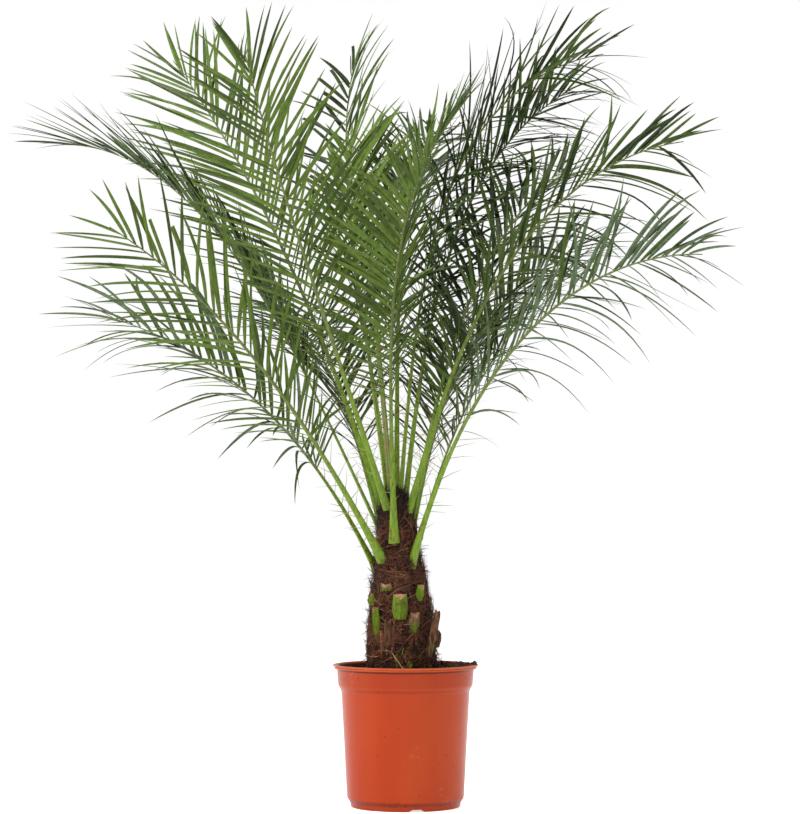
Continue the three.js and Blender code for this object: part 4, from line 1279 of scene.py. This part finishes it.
for order, frond in enumerate(FRONDS):
    name = f"frond_{order + 1:02d}"
    rng = random.Random(FROND_SEED + order)
    frond_line = rib_line(frond.rib)
    widths = OUTER_FOOT_WIDTHS if frond.rib.height < OUTER_FOOT_HEIGHT else RIB_WIDTHS
    stalk = rib_piece(f"{name}_rib", frond_line, widths)
    seat_on_root(stalk, "frond", name)
    leaflets = blades_piece(f"{name}_leaflets", leaflets_of(frond, frond_line, widths, rng),
                            leaflet_tree, **LEAFLET)
    seat_on_root(leaflets, "frond", name)
    thorns = blades_piece(f"{name}_thorns", thorns_of(frond_line, frond.rib.length, widths, rng),
                          thorn_tree, **THORN)
    seat_on_root(thorns, "frond", name)

# Spear leaf: the newest leaf, still shut. Its leaflets lie folded together into one ridged rod, green
# under a brown papery scurf, and it stands upright out of the heart of the crown.
SPEAR = Rib(222, 514, 9, 6, 10, 430, 0, 1.5, 0)
SPEAR_WIDTHS = [(0, 11), (0.5, 9.5), (0.85, 5.5), (1, 1.6)]
SPEAR_FLATNESS = 0.8
SPEAR_PLEATS = 7
SPEAR_PLEAT_DEPTH = 0.16
SPEAR_PLEAT_TWIST = 2.5
SPEAR_SIDES = 42
SPEAR_ROWS = 50
SPEAR_CREASE = 50
spear_line = rib_line(SPEAR)
spear_points = []
for row in range(SPEAR_ROWS):
    share = row / (SPEAR_ROWS - 1)
    place, forward, side, face = station(spear_line, share)
    half = read_off(SPEAR_WIDTHS, share) * MM / 2
    for number in range(SPEAR_SIDES):
        turn = FULL_TURN * number / SPEAR_SIDES
        pleat = 1 - SPEAR_PLEAT_DEPTH * (1 + math.cos(SPEAR_PLEATS * turn + SPEAR_PLEAT_TWIST * share))
        spoke = side * math.cos(turn) + face * (SPEAR_FLATNESS * math.sin(turn))
        spear_points.append(place + spoke * (half * pleat))
spear_points += [station(spear_line, 0)[0], station(spear_line, 1)[0]]
spear = new_piece("spear_rod", spear_points, tube_faces(SPEAR_ROWS, SPEAR_SIDES))
smooth(spear.data, SPEAR_CREASE)
scurf = Finish("spear_scurf", specular_ior_level=0.3)
flake = scurf.at.stretched(1, 1, 0.3).cloud(150, 5, 0.65)
scurf.lay(base_color=flake.shaded(tint(92, 112, 48), tint(112, 96, 62), 0.42, 0.6),
          roughness=0.6 + flake * 0.25,
          normal=flake.bump(0.6 * MM, 0.7))
spear.data.materials.append(scurf.material)
seat_on_root(spear, "spear", "spear_leaf")

# Studio: a plain pale floor and a bright even surround, lit by large soft lamps from the left, the
# right and above. The camera stands in front, at two fifths of the plant's height, and looks a little up.
FLOOR_SIZE = 30.0
FLOOR_GLOW = 0.62
WALL_GLOW = 1.0
TOP_GLOW = 0.4
WHITE = (1, 1, 1, 1)
scene = bpy.context.scene
scene.view_settings.view_transform = "Standard"
half_floor = FLOOR_SIZE / 2
studio_floor = new_piece("studio_floor", [(-half_floor, -half_floor, 0), (half_floor, -half_floor, 0),
                                          (half_floor, half_floor, 0), (-half_floor, half_floor, 0)],
                         [(0, 1, 2, 3)])
pale = Finish("studio_pale", roughness=0.9, specular_ior_level=0.0, emission_color=WHITE,
              emission_strength=FLOOR_GLOW)
pale.lay(base_color=pale.at.cloud(0.7, 2).blend(tint(246, 246, 246), tint(250, 250, 250)))
studio_floor.data.materials.append(pale.material)
surround = bpy.data.worlds.new("studio_surround")
surround.use_nodes = True
glow = Field(surround.node_tree)
level = abs(glow.node("ShaderNodeTexCoord", output="Generated").parts()[2])
wall = WALL_GLOW - level.from_to(0.15, 0.55) * (WALL_GLOW - TOP_GLOW)
glow.fill(surround.node_tree.nodes["Background"], {"Color": WHITE, "Strength": wall})
scene.world = surround

LAMP_AIM = (0, 0, 0.6)


def soft_lamp(name, place, size, power):
    data = bpy.data.lights.new(name, "AREA")
    data.shape = "DISK"
    data.size = size
    data.energy = power
    lamp = bpy.data.objects.new(name, data)
    lamp.location = place
    lamp.rotation_euler = (Vector(LAMP_AIM) - Vector(place)).to_track_quat("-Z", "Y").to_euler()
    bpy.context.collection.objects.link(lamp)


soft_lamp("lamp_left", (-3.2, -1.8, 2.4), 1.8, 124)
soft_lamp("lamp_right", (3.2, -1.8, 2.0), 1.8, 22)
soft_lamp("lamp_top", (0, -0.4, 3.6), 2.0, 112)

FOCAL_PIXELS = 2880
PICTURE_HEIGHT = 814
CAMERA_PLACE = (-0.009, -4.766, 0.529)
CAMERA_RISE = math.radians(1.56)
view = bpy.data.cameras.new("camera")
view.sensor_width = 36
view.lens = view.sensor_width * FOCAL_PIXELS / PICTURE_HEIGHT
camera = bpy.data.objects.new("camera", view)
camera.location = CAMERA_PLACE
camera.rotation_euler = (math.pi / 2 + CAMERA_RISE, 0, 0)
bpy.context.collection.objects.link(camera)
scene.camera = camera
